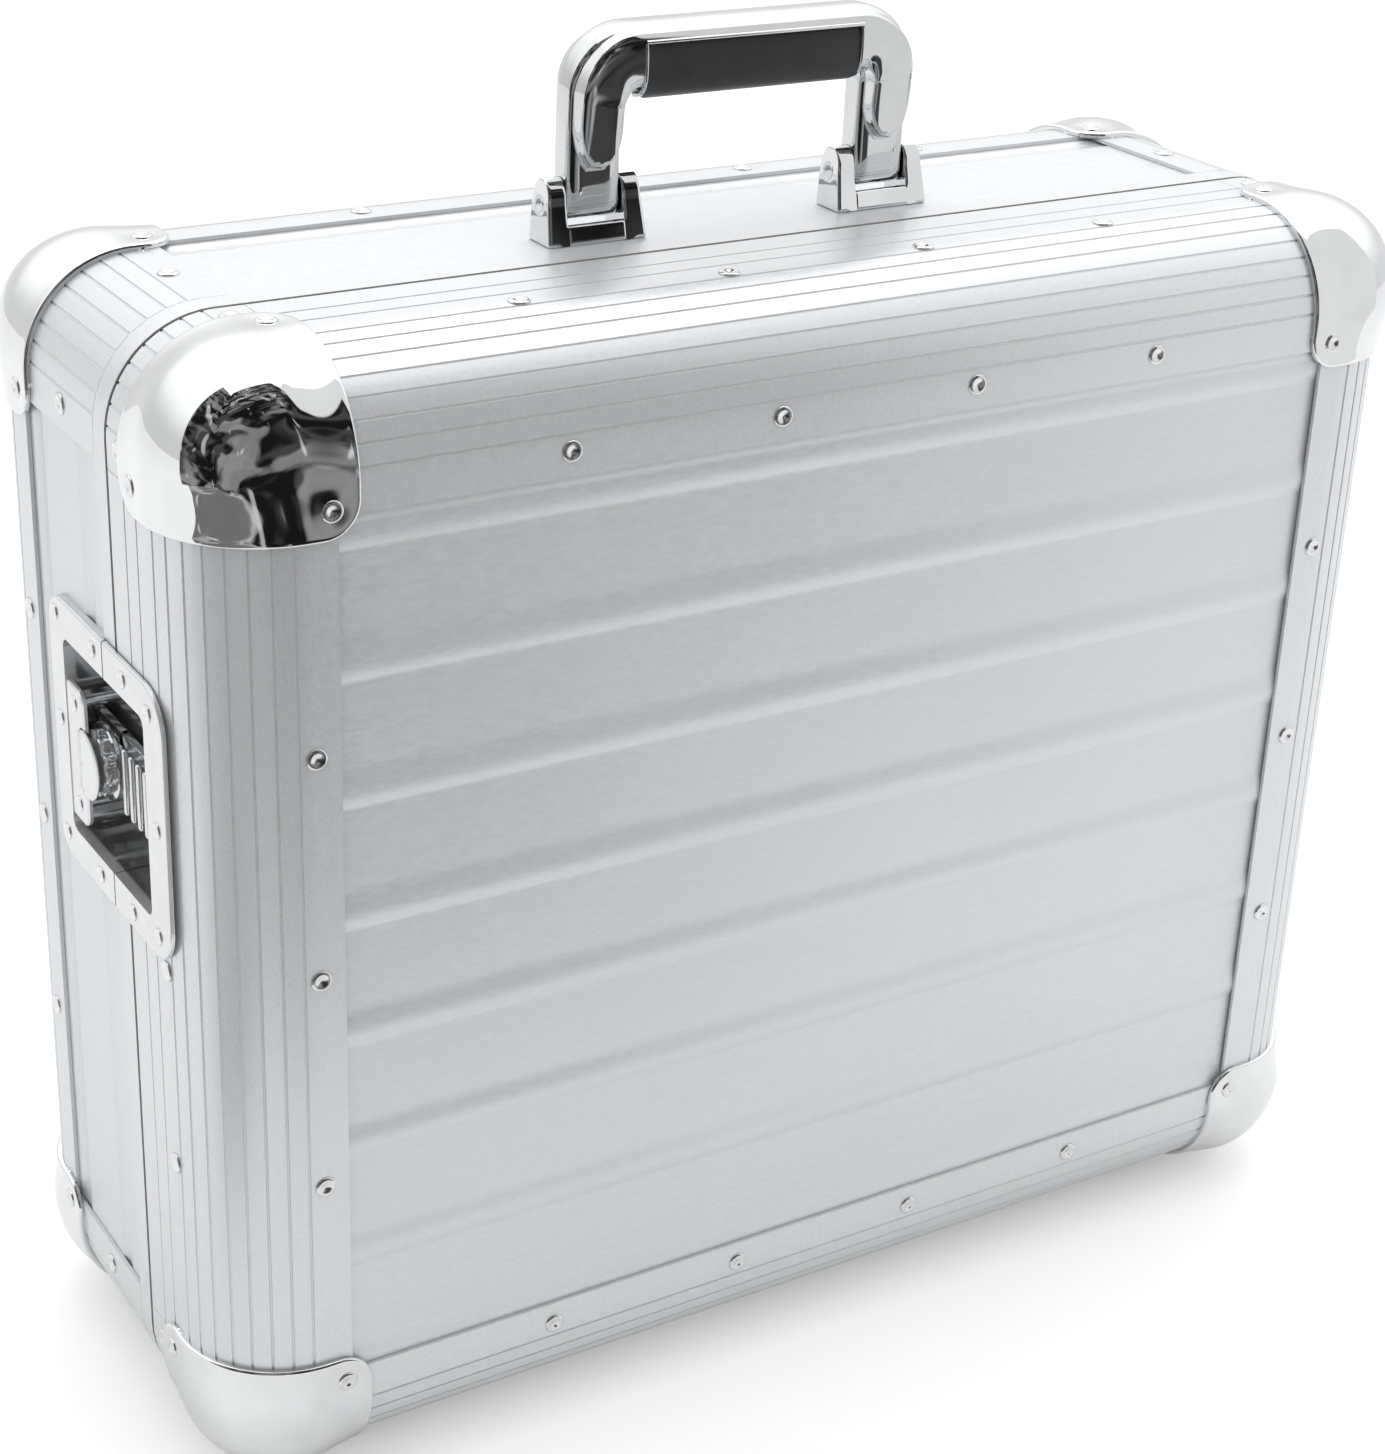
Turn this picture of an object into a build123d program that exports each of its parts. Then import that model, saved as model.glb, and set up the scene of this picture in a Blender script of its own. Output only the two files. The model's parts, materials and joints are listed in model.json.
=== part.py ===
"""Aluminium flight case for one turntable.

The case stands on its feet with the carrying handle on top. X runs across the width, the front
looks along -Y, Z is up and z = 0 is the floor under the feet. The front half is a shallow lid that
hinges about the bottom edge, and the rear half is the deeper base.
"""

import math
import os

from build123d import *

# Overall size of the case without its feet, handle and corner caps
CASE_WIDTH = 520.0
CASE_DEPTH = 204.0
CASE_HEIGHT = 437.0
FOOT_HEIGHT = 8.0

# Where the two halves part, measured back from the front face, and the shadow gap between them
SPLIT_DEPTH = 73.0
SPLIT_GAP = 2.0

# Rounded edge extrusions
EDGE_RADIUS = 40.0
SHEET = 1.5
FLANGE_REACH = 50.0
GROOVE_RADIUS = 0.55
GROOVE_PITCH = 7.5
GROOVES_ON_CURVE = 8
RIVET_INSET = 40.8
RIVET_RADIUS = 4.0

# Boards and front panel, which lie just under the flanges
SKIN_INSET = 1.6
BOARD = 6.0
PANEL_INSET = 38.6
SWAGE_COUNT = 7
SWAGE_PITCH = 46.6
SWAGE_WIDTH = 14.0
SWAGE_DEPTH = 1.0

# Closure: lip of the base and tongue of the lid
LIP_DEPTH = 10.6
LIP_WALL = 2.8
TONGUE_INSET = 3.2
TONGUE_WALL = 1.6
TONGUE_REACH = 5.0

# Ball corners
CAP_REACH = 57.5
CAP_SHEET = 1.6
BALL_INSET = 36.0
BALL_RADIUS = 39.2
LOBE_RADIUS = 13.0
CAP_RIVET_INSET = 47.1

# Turntable bay in the foam
BAY_WIDTH = 453.2
BAY_HEIGHT = 353.0
BAY_DEPTH = 162.6
FOAM_INSET = 7.8

# Carrying handle
HANDLE_SPACING = 125.0
BRACKET_WIDTH = 41.0
BRACKET_DEPTH = 16.0
BRACKET_RISE = 23.5
BRACKET_FRONT_Y = -7.0
HANDLE_PIVOT_Y = 3.0
HANDLE_PIVOT_RISE = 12.0
HANDLE_TOP_RISE = 76.0
ARM_WIDTH = 22.4
ARM_DEPTH = 12.6
BAR_HEIGHT = 28.0
BAR_DEPTH = 25.0
GRIP_LENGTH = 93.2

# Recessed latch on each side, in the (y, z) plane of the side wall
LATCH_Y = 4.0
LATCH_Z = 272.0
DISH_FRONT_Y = -73.5
DISH_SPLIT_Y = -19.5
DISH_BACK_Y = 35.0
DISH_LOW_Z = 225.5
DISH_HIGH_Z = 329.5
DISH_RIM = 14.0
DISH_FRONT_RIM = 17.0
DISH_DEPTH = 15.0
DISH_WALL = 1.2
RIM_PROUD = 2.0
CUTOUT_CLEARANCE = 1.6

# Bottom hinges
HINGE_X = 140.0
HINGE_LENGTH = 60.0
KNUCKLE_RADIUS = 3.0
HINGE_PIN_RADIUS = 1.5
LEAF = 1.5

# Levels and planes worked out from the sizes above
LEFT = -CASE_WIDTH / 2
FRONT = -CASE_DEPTH / 2
BACK = CASE_DEPTH / 2
BOTTOM = FOOT_HEIGHT
TOP = FOOT_HEIGHT + CASE_HEIGHT
MIDDLE_Z = (BOTTOM + TOP) / 2
SPLIT_Y = FRONT + SPLIT_DEPTH
LID_END_Y = SPLIT_Y - SPLIT_GAP / 2
BASE_START_Y = SPLIT_Y + SPLIT_GAP / 2
LIP_END_Y = BASE_START_Y + LIP_DEPTH
MID_HEIGHT = Plane.XY.offset(MIDDLE_Z)
QUARTER = EDGE_RADIUS * math.pi / 2

RIVET_XS = (-125.0, -41.7, 41.7, 125.0)
RIVET_ZS = (MIDDLE_Z - 84.4, MIDDLE_Z, MIDDLE_Z + 84.4)

os.makedirs("parts", exist_ok=True)


def save(piece, name):
    """Label a finished piece and write it as its own file."""
    piece.part.label = name
    export_step(piece.part, f"parts/{name}.step")


def block(x_span, y_span, z_span, mode=Mode.ADD):
    """Add or cut a box between two limits on each axis."""
    spans = (x_span, y_span, z_span)
    with Locations(tuple((low + high) / 2 for low, high in spans)):
        Box(*(abs(high - low) for low, high in spans), mode=mode)


def mirrored(piece, about=Plane.YZ):
    """The mirror image of a piece, as a piece of its own."""
    with BuildPart() as twin:
        mirror(piece.part, about=about)
    return twin


def four_ways(piece):
    """A piece at all four corners of the case's outline."""
    with BuildPart() as group:
        add(piece.part)
        mirror(about=Plane.YZ)
        mirror(about=MID_HEIGHT)
    return group


def ring(plane, inset, wall, depth):
    """A rounded frame that follows the case's outline, set in from its surface."""
    with BuildPart() as frame:
        with BuildSketch(plane):
            for distance, mode in ((inset, Mode.ADD), (inset + wall, Mode.SUBTRACT)):
                RectangleRounded(
                    CASE_WIDTH - 2 * distance,
                    CASE_HEIGHT - 2 * distance,
                    EDGE_RADIUS - distance,
                    mode=mode,
                )
        extrude(amount=depth)
    return frame


def outline_plane(y):
    """Upright plane at one depth, centred on the case, whose extrusion runs to the back."""
    return Plane(origin=(0, y, MIDDLE_Z), x_dir=(-1, 0, 0), z_dir=(0, 1, 0))


# Edge extrusions: a quarter round with a flange each way, and grooves along it


def on_edge(arc):
    """Point of the outer surface, by its distance along the section from where the curve starts."""
    if arc < 0:
        return (EDGE_RADIUS - arc, 0)
    if arc > QUARTER:
        return (0, EDGE_RADIUS + arc - QUARTER)
    angle = arc / EDGE_RADIUS
    return (EDGE_RADIUS * (1 - math.sin(angle)), EDGE_RADIUS * (1 - math.cos(angle)))


CURVE_GROOVES = tuple(
    QUARTER / 2 + GROOVE_PITCH * (number - (GROOVES_ON_CURVE - 1) / 2)
    for number in range(GROOVES_ON_CURVE)
)
FLANK_GROOVES = (-8.0, -18.5)


def edge_profile(corner, u_dir, w_dir, u_reach, length, grooves=CURVE_GROOVES):
    """Extrusion round one edge: u and w run in from the corner along the two faces."""
    u_axis = Vector(*u_dir)
    plane = Plane(origin=corner, x_dir=u_axis, z_dir=u_axis.cross(Vector(*w_dir)))
    centre = (EDGE_RADIUS, EDGE_RADIUS)
    with BuildPart() as profile:
        with BuildSketch(plane):
            with BuildLine():
                Line((u_reach, 0), (EDGE_RADIUS, 0))
                CenterArc(centre, EDGE_RADIUS, 270, -90)
                Line((0, EDGE_RADIUS), (0, FLANGE_REACH))
                Line((0, FLANGE_REACH), (SHEET, FLANGE_REACH))
                Line((SHEET, FLANGE_REACH), (SHEET, EDGE_RADIUS))
                CenterArc(centre, EDGE_RADIUS - SHEET, 180, 90)
                Line((EDGE_RADIUS, SHEET), (u_reach, SHEET))
                Line((u_reach, SHEET), (u_reach, 0))
            make_face()
            with Locations(*(on_edge(arc) for arc in grooves)):
                Circle(GROOVE_RADIUS, mode=Mode.SUBTRACT)
        extrude(amount=length / 2, both=True)
    return profile


SPAN_X = CASE_WIDTH - 2 * FLANGE_REACH
SPAN_Z = CASE_HEIGHT - 2 * FLANGE_REACH
CUTOUT_X = (LEFT - 5, LEFT + DISH_DEPTH + DISH_WALL + 1)
CUTOUT_Z = (
    DISH_LOW_Z + DISH_RIM - DISH_WALL - CUTOUT_CLEARANCE,
    DISH_HIGH_Z - DISH_RIM + DISH_WALL + CUTOUT_CLEARANCE,
)
CUTOUT_Y = (
    DISH_FRONT_Y + DISH_FRONT_RIM - DISH_WALL - 0.4,
    DISH_BACK_Y - DISH_RIM + DISH_WALL + 0.4,
)


def cut_for_dish():
    """Opening in the left wall for the latch dish."""
    block(CUTOUT_X, CUTOUT_Y, CUTOUT_Z, mode=Mode.SUBTRACT)


lid_profile_top = edge_profile(
    (0, FRONT, TOP), (0, 1, 0), (0, 0, -1), LID_END_Y - FRONT, SPAN_X, CURVE_GROOVES + FLANK_GROOVES
)
save(lid_profile_top, "lid_profile_top")
save(mirrored(lid_profile_top, MID_HEIGHT), "lid_profile_bottom")

lid_profile_plain = edge_profile(
    (LEFT, FRONT, MIDDLE_Z),
    (0, 1, 0),
    (1, 0, 0),
    LID_END_Y - FRONT,
    SPAN_Z,
    CURVE_GROOVES + FLANK_GROOVES,
)
with BuildPart() as lid_profile_left:
    add(lid_profile_plain.part)
    cut_for_dish()
save(lid_profile_left, "lid_profile_left")
save(mirrored(lid_profile_left), "lid_profile_right")

base_profile_top = edge_profile((0, BACK, TOP), (0, -1, 0), (0, 0, -1), FLANGE_REACH, SPAN_X)
save(base_profile_top, "base_profile_top")
save(mirrored(base_profile_top, MID_HEIGHT), "base_profile_bottom")

base_profile_left = edge_profile(
    (LEFT, BACK, MIDDLE_Z), (0, -1, 0), (1, 0, 0), FLANGE_REACH, SPAN_Z
)
save(base_profile_left, "base_profile_left")
save(mirrored(base_profile_left), "base_profile_right")

# Short extrusions that carry the rounded outline from the caps to the closure
JOINT_GAP = 0.2
lid_corner_start = FRONT + FLANGE_REACH + JOINT_GAP
lid_corner = edge_profile(
    (LEFT, (lid_corner_start + LID_END_Y) / 2, TOP),
    (1, 0, 0),
    (0, 0, -1),
    FLANGE_REACH - JOINT_GAP,
    LID_END_Y - lid_corner_start,
)
with BuildPart() as lid_corner_trimmed:
    add(lid_corner.part)
    block(
        (LEFT - 1, LEFT + SHEET + 1),
        (FRONT, LID_END_Y + 1),
        (TOP - FLANGE_REACH - 1, TOP - FLANGE_REACH + JOINT_GAP),
        mode=Mode.SUBTRACT,
    )
save(four_ways(lid_corner_trimmed), "lid_corner_profiles")

base_corner_start = LIP_END_Y + JOINT_GAP
base_corner_end = BACK - FLANGE_REACH - JOINT_GAP
base_corner = edge_profile(
    (LEFT, (base_corner_start + base_corner_end) / 2, TOP),
    (1, 0, 0),
    (0, 0, -1),
    FLANGE_REACH,
    base_corner_end - base_corner_start,
)
save(four_ways(base_corner), "base_corner_profiles")

# Front and back panels with horizontal swages pressed out of them

SWAGE_ZS = tuple(
    MIDDLE_Z + 22.3 + SWAGE_PITCH * (number - (SWAGE_COUNT - 1) / 2) for number in range(SWAGE_COUNT)
)
PANEL_WIDTH = CASE_WIDTH - 2 * PANEL_INSET
PANEL_HEIGHT = CASE_HEIGHT - 2 * PANEL_INSET

SWAGE_TOP_Y = FRONT + SKIN_INSET
PANEL_FACE_Y = SWAGE_TOP_Y + SWAGE_DEPTH
PANEL_BACK_Y = SWAGE_TOP_Y + BOARD

with BuildPart() as lid_front_panel:
    with BuildSketch(Plane.YZ.offset(-PANEL_WIDTH / 2)):
        with Locations(((PANEL_FACE_Y + PANEL_BACK_Y) / 2, MIDDLE_Z)):
            Rectangle(PANEL_BACK_Y - PANEL_FACE_Y, PANEL_HEIGHT)
        for swage_z in SWAGE_ZS:
            upper_edge = (PANEL_FACE_Y, swage_z + SWAGE_WIDTH / 2)
            lower_edge = (PANEL_FACE_Y, swage_z - SWAGE_WIDTH / 2)
            with BuildLine():
                ThreePointArc(upper_edge, (SWAGE_TOP_Y, swage_z), lower_edge)
                Line(lower_edge, upper_edge)
            make_face()
    extrude(amount=PANEL_WIDTH)
save(lid_front_panel, "lid_front_panel")
save(mirrored(lid_front_panel, Plane.XZ), "base_back_panel")

# Side, top and bottom boards of the base, each with two shallow beads along it

BOARD_START_Y = LIP_END_Y + JOINT_GAP
BOARD_END_Y = BACK - PANEL_INSET
BEAD_YS = (-0.5, 44.0)
BEAD_WIDTH = 10.5
BEAD_DEPTH = 0.8
BEAD_RADIUS = (BEAD_WIDTH**2 / 4 + BEAD_DEPTH**2) / (2 * BEAD_DEPTH)

with BuildPart() as base_board_left:
    block(
        (LEFT + SKIN_INSET, LEFT + SKIN_INSET + BOARD),
        (BOARD_START_Y, BOARD_END_Y),
        (MIDDLE_Z - PANEL_HEIGHT / 2, MIDDLE_Z + PANEL_HEIGHT / 2),
    )
    with Locations(*((LEFT + SKIN_INSET + BEAD_DEPTH - BEAD_RADIUS, y, MIDDLE_Z) for y in BEAD_YS)):
        Cylinder(BEAD_RADIUS, CASE_HEIGHT, mode=Mode.SUBTRACT)
    cut_for_dish()
save(base_board_left, "base_board_left")
save(mirrored(base_board_left), "base_board_right")

with BuildPart() as base_board_top:
    block(
        (-PANEL_WIDTH / 2, PANEL_WIDTH / 2),
        (BOARD_START_Y, BOARD_END_Y),
        (TOP - SKIN_INSET - BOARD, TOP - SKIN_INSET),
    )
    with Locations((0, BEAD_YS[1], TOP - SKIN_INSET - BEAD_DEPTH + BEAD_RADIUS)):
        Cylinder(BEAD_RADIUS, CASE_WIDTH, rotation=(0, 90, 0), mode=Mode.SUBTRACT)
save(base_board_top, "base_board_top")
save(mirrored(base_board_top, MID_HEIGHT), "base_board_bottom")

# Closure: the base's lip with a web behind it, and the lid's frame with its tongue


def cut_both_dishes():
    """Openings for both latch dishes in a frame that goes all round."""
    for side in (-1, 1):
        block(tuple(side * -x for x in CUTOUT_X), CUTOUT_Y, CUTOUT_Z, mode=Mode.SUBTRACT)


WEB_START_Y = LID_END_Y + TONGUE_REACH + 0.8
lip = ring(outline_plane(BASE_START_Y), 0, LIP_WALL, LIP_DEPTH)
web = ring(
    outline_plane(WEB_START_Y), LIP_WALL, SKIN_INSET + BOARD - LIP_WALL, LIP_END_Y - WEB_START_Y
)
with BuildPart() as base_lip_frame:
    add(lip.part)
    add(web.part)
    cut_both_dishes()
save(base_lip_frame, "base_lip_frame")

FRAME_DEPTH = 14.0
FRAME_WALL = 4.0
inner_frame = ring(outline_plane(LID_END_Y - FRAME_DEPTH), SKIN_INSET, FRAME_WALL, FRAME_DEPTH)
tongue = ring(outline_plane(LID_END_Y), TONGUE_INSET, TONGUE_WALL, TONGUE_REACH)
with BuildPart() as lid_tongue_frame:
    add(inner_frame.part)
    add(tongue.part)
    cut_both_dishes()
save(lid_tongue_frame, "lid_tongue_frame")

# Ball corners: a thin shell over the rounded corner, with a lobe on each face and a swollen ball

LOW_CORNER = (LEFT, FRONT, BOTTOM)


def edges_at(piece, point):
    """The edges of a piece that meet at one point."""
    tip = Vertex(*point)
    return piece.edges().filter_by(lambda edge: edge.distance_to(tip) < 1e-4)


with BuildPart() as corner_space:
    with Locations(LOW_CORNER):
        Box(90, 90, 90, align=(Align.MIN, Align.MIN, Align.MIN))
    fillet(edges_at(corner_space, LOW_CORNER), EDGE_RADIUS)

with BuildPart() as ball_corner:
    outer_corner = tuple(value - CAP_SHEET for value in LOW_CORNER)
    far_corner = tuple(value + CAP_REACH for value in LOW_CORNER)
    side_length = CAP_REACH + CAP_SHEET
    with Locations(outer_corner):
        Box(side_length, side_length, side_length, align=(Align.MIN, Align.MIN, Align.MIN))
    fillet(edges_at(ball_corner, far_corner), LOBE_RADIUS)
    fillet(edges_at(ball_corner, outer_corner), EDGE_RADIUS + CAP_SHEET)
    with Locations(tuple(value + BALL_INSET for value in LOW_CORNER)):
        Sphere(BALL_RADIUS)
    add(corner_space.part, mode=Mode.SUBTRACT)
lid_corner_caps = four_ways(ball_corner)
save(lid_corner_caps, "lid_corner_caps")
save(mirrored(lid_corner_caps, Plane.XZ), "base_corner_caps")

# Rivets: dished heads that sit on the surface


DISH_SHARE = 0.75


def dished_head(radius, height):
    """Round rivet head along +Z with a rounded rim and a hollow middle."""
    ball_radius = 1.6 * radius
    with BuildPart() as head:
        Cylinder(radius, height, align=(Align.CENTER, Align.CENTER, Align.MIN))
        fillet(head.edges().group_by(Axis.Z)[-1], 0.6 * height)
        with Locations((0, 0, height + ball_radius - DISH_SHARE * height)):
            Sphere(ball_radius, mode=Mode.SUBTRACT)
    return head


rivet = dished_head(RIVET_RADIUS, 1.3)
RIVET_LIFT = 0.02


def rivets_on(spots):
    """Rivet heads at (point, outward normal) pairs."""
    planes = [
        Plane(origin=Vector(*point) + Vector(*normal) * RIVET_LIFT, z_dir=normal)
        for point, normal in spots
    ]
    with BuildPart() as group:
        with Locations(*planes):
            add(rivet.part)
    return group


def outline_rivets(face_y, flank_y, corner_y, outward, side_zs):
    """Rivets of one half: round its face, along its flanks and on its short corner pieces."""
    half_x = CASE_WIDTH / 2
    spots = []
    for up in (-1, 1):
        edge_z = MIDDLE_Z + up * CASE_HEIGHT / 2
        for x in RIVET_XS:
            spots.append(((x, face_y, edge_z - up * RIVET_INSET), (0, outward, 0)))
            spots.append(((x, flank_y, edge_z), (0, 0, up)))
        for side in (-1, 1):
            edge_x = side * half_x
            spots.append(((edge_x - side * RIVET_INSET, corner_y, edge_z), (0, 0, up)))
            spots.append(((edge_x, corner_y, edge_z - up * RIVET_INSET), (side, 0, 0)))
    for side in (-1, 1):
        for z in RIVET_ZS:
            spots.append(((side * (half_x - RIVET_INSET), face_y, z), (0, outward, 0)))
        for z in side_zs:
            spots.append(((side * half_x, flank_y, z), (side, 0, 0)))
    return spots


LID_FLANK_Y = FRONT + 38.8
LID_CORNER_RIVET_Y = FRONT + 61.9
BASE_FLANK_Y = BACK - RIVET_INSET
BASE_CORNER_RIVET_Y = FRONT + 115.9
UNDER_DISH_Z = DISH_LOW_Z - RIVET_RADIUS - 0.5

lid_spots = outline_rivets(
    FRONT, LID_FLANK_Y, LID_CORNER_RIVET_Y, -1, (RIVET_ZS[0], UNDER_DISH_Z)
)
save(rivets_on(lid_spots), "lid_rivets")
base_spots = outline_rivets(BACK, BASE_FLANK_Y, BASE_CORNER_RIVET_Y, 1, RIVET_ZS)
save(rivets_on(base_spots), "base_rivets")

cap_spots = []
for axis in range(3):
    point = [value + CAP_RIVET_INSET for value in LOW_CORNER]
    point[axis] = LOW_CORNER[axis] - CAP_SHEET
    normal = [0, 0, 0]
    normal[axis] = -1
    cap_spots.append((tuple(point), tuple(normal)))
lid_cap_rivets = four_ways(rivets_on(cap_spots))
save(lid_cap_rivets, "lid_cap_rivets")
save(mirrored(lid_cap_rivets, Plane.XZ), "base_cap_rivets")

# Rubber feet with a screw up the middle

FOOT_X = 185.0
FOOT_Y = -60.0
FOOT_TOP_RADIUS = 9.0
FOOT_BOTTOM_RADIUS = 7.6
SCREW_RADIUS = 2.1
SCREW_HEAD_RADIUS = 3.4

with BuildPart() as foot:
    with BuildSketch(Plane.XZ):
        with BuildLine():
            Polyline(
                (SCREW_RADIUS + 0.2, FOOT_HEIGHT),
                (FOOT_TOP_RADIUS, FOOT_HEIGHT),
                (FOOT_BOTTOM_RADIUS + 0.3, 1.0),
                (FOOT_BOTTOM_RADIUS - 0.7, 0),
                (SCREW_HEAD_RADIUS + 0.4, 0),
                (SCREW_HEAD_RADIUS + 0.4, 4.0),
                (SCREW_RADIUS + 0.2, 4.0),
                close=True,
            )
        make_face()
    revolve(axis=Axis.Z)
with BuildPart() as foot_screw:
    with Locations((0, 0, 2.0)):
        Cylinder(SCREW_HEAD_RADIUS, 1.9, align=(Align.CENTER, Align.CENTER, Align.MIN))
        Cylinder(
            SCREW_RADIUS, FOOT_HEIGHT - 2.0, align=(Align.CENTER, Align.CENTER, Align.MIN)
        )
    with Locations((0, 0, 2.0)):
        Box(1.0, 2 * SCREW_HEAD_RADIUS, 1.4, mode=Mode.SUBTRACT)


def pair_at_feet(piece, y):
    """The same piece at the left and right foot of one half."""
    with BuildPart() as pair:
        with Locations((-FOOT_X, y, 0), (FOOT_X, y, 0)):
            add(piece.part)
    return pair


for half, y in (("lid", FOOT_Y), ("base", -FOOT_Y)):
    save(pair_at_feet(foot, y), f"{half}_feet")
    save(pair_at_feet(foot_screw, y), f"{half}_foot_screws")

# Foam that holds the turntable: four walls and a pad in each half

FOAM_GAP = 0.2
FOAM_SIDE_X = (LEFT + FOAM_INSET, -BAY_WIDTH / 2)
FOAM_SIDE_Z = (MIDDLE_Z - BAY_HEIGHT / 2 + FOAM_GAP, MIDDLE_Z + BAY_HEIGHT / 2 - FOAM_GAP)
FOAM_TOP_Z = (MIDDLE_Z + BAY_HEIGHT / 2, TOP - FOAM_INSET)
END_WALL_INSET = 4.0
PAD_FACE_Y = BAY_DEPTH / 2


def foam_walls(y_span):
    """Four foam blocks round the bay, the side ones notched behind the latch dishes."""
    with BuildPart() as side_wall:
        block(FOAM_SIDE_X, y_span, FOAM_SIDE_Z)
        cut_for_dish()
    with BuildPart() as end_wall:
        block((-BAY_WIDTH / 2 + END_WALL_INSET, BAY_WIDTH / 2 - END_WALL_INSET), y_span, FOAM_TOP_Z)
    with BuildPart() as walls:
        add(side_wall.part)
        mirror(side_wall.part, about=Plane.YZ)
        add(end_wall.part)
        mirror(end_wall.part, about=MID_HEIGHT)
    return walls


def foam_pad(y_span):
    """Flat pad against a panel."""
    with BuildPart() as pad:
        block((-218, 218), y_span, (BOTTOM + 42, TOP - 42))
        fillet(pad.edges().filter_by(Axis.Y), 12)
    return pad


save(foam_walls((LID_END_Y - BAY_DEPTH / 2 + 29.0, LID_END_Y - 1.0)), "lid_foam_walls")
save(foam_walls((WEB_START_Y + 1.4, PAD_FACE_Y)), "base_foam_walls")
pad_back_y = BACK - SKIN_INSET - BOARD - 0.3
base_foam_pad = foam_pad((PAD_FACE_Y + 0.2, pad_back_y))
save(base_foam_pad, "base_foam_pad")
save(mirrored(base_foam_pad, Plane.XZ), "lid_foam_pad")

# Bottom hinges: leaves screwed under the case, three knuckles and a pin each

HINGE_Z = BOTTOM - 0.5 - KNUCKLE_RADIUS
LEAF_REACH = 19.0
LEAF_GAP = 0.4
PIN_PLAY = 0.05
KNUCKLE_ENDS = (-HINGE_LENGTH / 2, -12.0, 12.0, HINGE_LENGTH / 2)


def knuckle(x_span, side):
    """One knuckle with the tab that joins it to its leaf, on the lid side (-1) or base side (1)."""
    middle = (x_span[0] + x_span[1]) / 2
    length = x_span[1] - x_span[0] - 2 * 0.2
    with Locations((middle, SPLIT_Y, HINGE_Z)):
        Cylinder(KNUCKLE_RADIUS, length, rotation=(0, 90, 0))
    block(
        (middle - length / 2, middle + length / 2),
        tuple(sorted((SPLIT_Y, SPLIT_Y + side * (KNUCKLE_RADIUS + LEAF_GAP + 1)))),
        (BOTTOM - 0.5 - LEAF, BOTTOM - 0.5),
    )


def leaf(side):
    """Leaf plate on one side of the hinge line."""
    near = SPLIT_Y + side * (KNUCKLE_RADIUS + LEAF_GAP)
    far = SPLIT_Y + side * LEAF_REACH
    block(
        (-HINGE_LENGTH / 2, HINGE_LENGTH / 2),
        tuple(sorted((near, far))),
        (BOTTOM - 0.5 - LEAF, BOTTOM - 0.03),
    )


def pin_hole():
    """Bore through every knuckle, a running fit on the pin."""
    with Locations((0, SPLIT_Y, HINGE_Z)):
        Cylinder(
            HINGE_PIN_RADIUS + PIN_PLAY,
            HINGE_LENGTH + 2,
            rotation=(0, 90, 0),
            mode=Mode.SUBTRACT,
        )


with BuildPart() as lid_hinge:
    leaf(-1)
    knuckle(KNUCKLE_ENDS[1:3], -1)
    pin_hole()
with BuildPart() as base_hinge:
    leaf(1)
    knuckle(KNUCKLE_ENDS[0:2], 1)
    knuckle(KNUCKLE_ENDS[2:4], 1)
    pin_hole()
with BuildPart() as hinge_pin:
    with Locations((0, SPLIT_Y, HINGE_Z)):
        Cylinder(HINGE_PIN_RADIUS, HINGE_LENGTH, rotation=(0, 90, 0))

for piece, name in (
    (lid_hinge, "hinge_lid_leaves"),
    (base_hinge, "hinge_base_leaves"),
    (hinge_pin, "hinge_pins"),
):
    with BuildPart() as pair:
        with Locations((-HINGE_X, 0, 0), (HINGE_X, 0, 0)):
            add(piece.part)
    save(pair, name)

# Carrying handle

PIVOT_Z = TOP + HANDLE_PIVOT_RISE
HANDLE_PIN_RADIUS = 2.5
SLOT_WIDTH = ARM_WIDTH + 0.8
STOP_BAR_RISE = 7.0
STOP_BAR_DEPTH = 3.0
LUG_TOP_WIDTH = 37.0
BRACKET_BASE_Z = TOP - SKIN_INSET + 0.05
ARM_X = HANDLE_SPACING / 2

bracket_back_y = BRACKET_FRONT_Y + BRACKET_DEPTH
with BuildPart() as handle_bracket_left:
    with BuildSketch(Plane(origin=(-ARM_X, BRACKET_FRONT_Y, 0), x_dir=(1, 0, 0), z_dir=(0, -1, 0))):
        with BuildLine():
            Polyline(
                (-BRACKET_WIDTH / 2, BRACKET_BASE_Z),
                (BRACKET_WIDTH / 2, BRACKET_BASE_Z),
                (LUG_TOP_WIDTH / 2, BRACKET_BASE_Z + BRACKET_RISE),
                (-LUG_TOP_WIDTH / 2, BRACKET_BASE_Z + BRACKET_RISE),
                close=True,
            )
        make_face()
    extrude(amount=-BRACKET_DEPTH)
    fillet(
        handle_bracket_left.edges().filter_by(Axis.X).group_by(Axis.Z)[-1], BRACKET_DEPTH / 2 - 1.6
    )
    fillet(handle_bracket_left.faces().filter_by(Axis.X, tolerance=8).edges(), 1.2)
    block(
        (-ARM_X - SLOT_WIDTH / 2, -ARM_X + SLOT_WIDTH / 2),
        (BRACKET_FRONT_Y + STOP_BAR_DEPTH, bracket_back_y + 1),
        (BRACKET_BASE_Z + 2.0, TOP + BRACKET_RISE + 5),
        mode=Mode.SUBTRACT,
    )
    block(
        (-ARM_X - SLOT_WIDTH / 2, -ARM_X + SLOT_WIDTH / 2),
        (BRACKET_FRONT_Y - 1, BRACKET_FRONT_Y + STOP_BAR_DEPTH + 1),
        (BRACKET_BASE_Z + STOP_BAR_RISE, TOP + BRACKET_RISE + 5),
        mode=Mode.SUBTRACT,
    )
    with Locations((-ARM_X, HANDLE_PIVOT_Y, PIVOT_Z)):
        Cylinder(HANDLE_PIN_RADIUS + 0.02, 60, rotation=(0, 90, 0), mode=Mode.SUBTRACT)
save(handle_bracket_left, "handle_bracket_left")
save(mirrored(handle_bracket_left), "handle_bracket_right")

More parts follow.
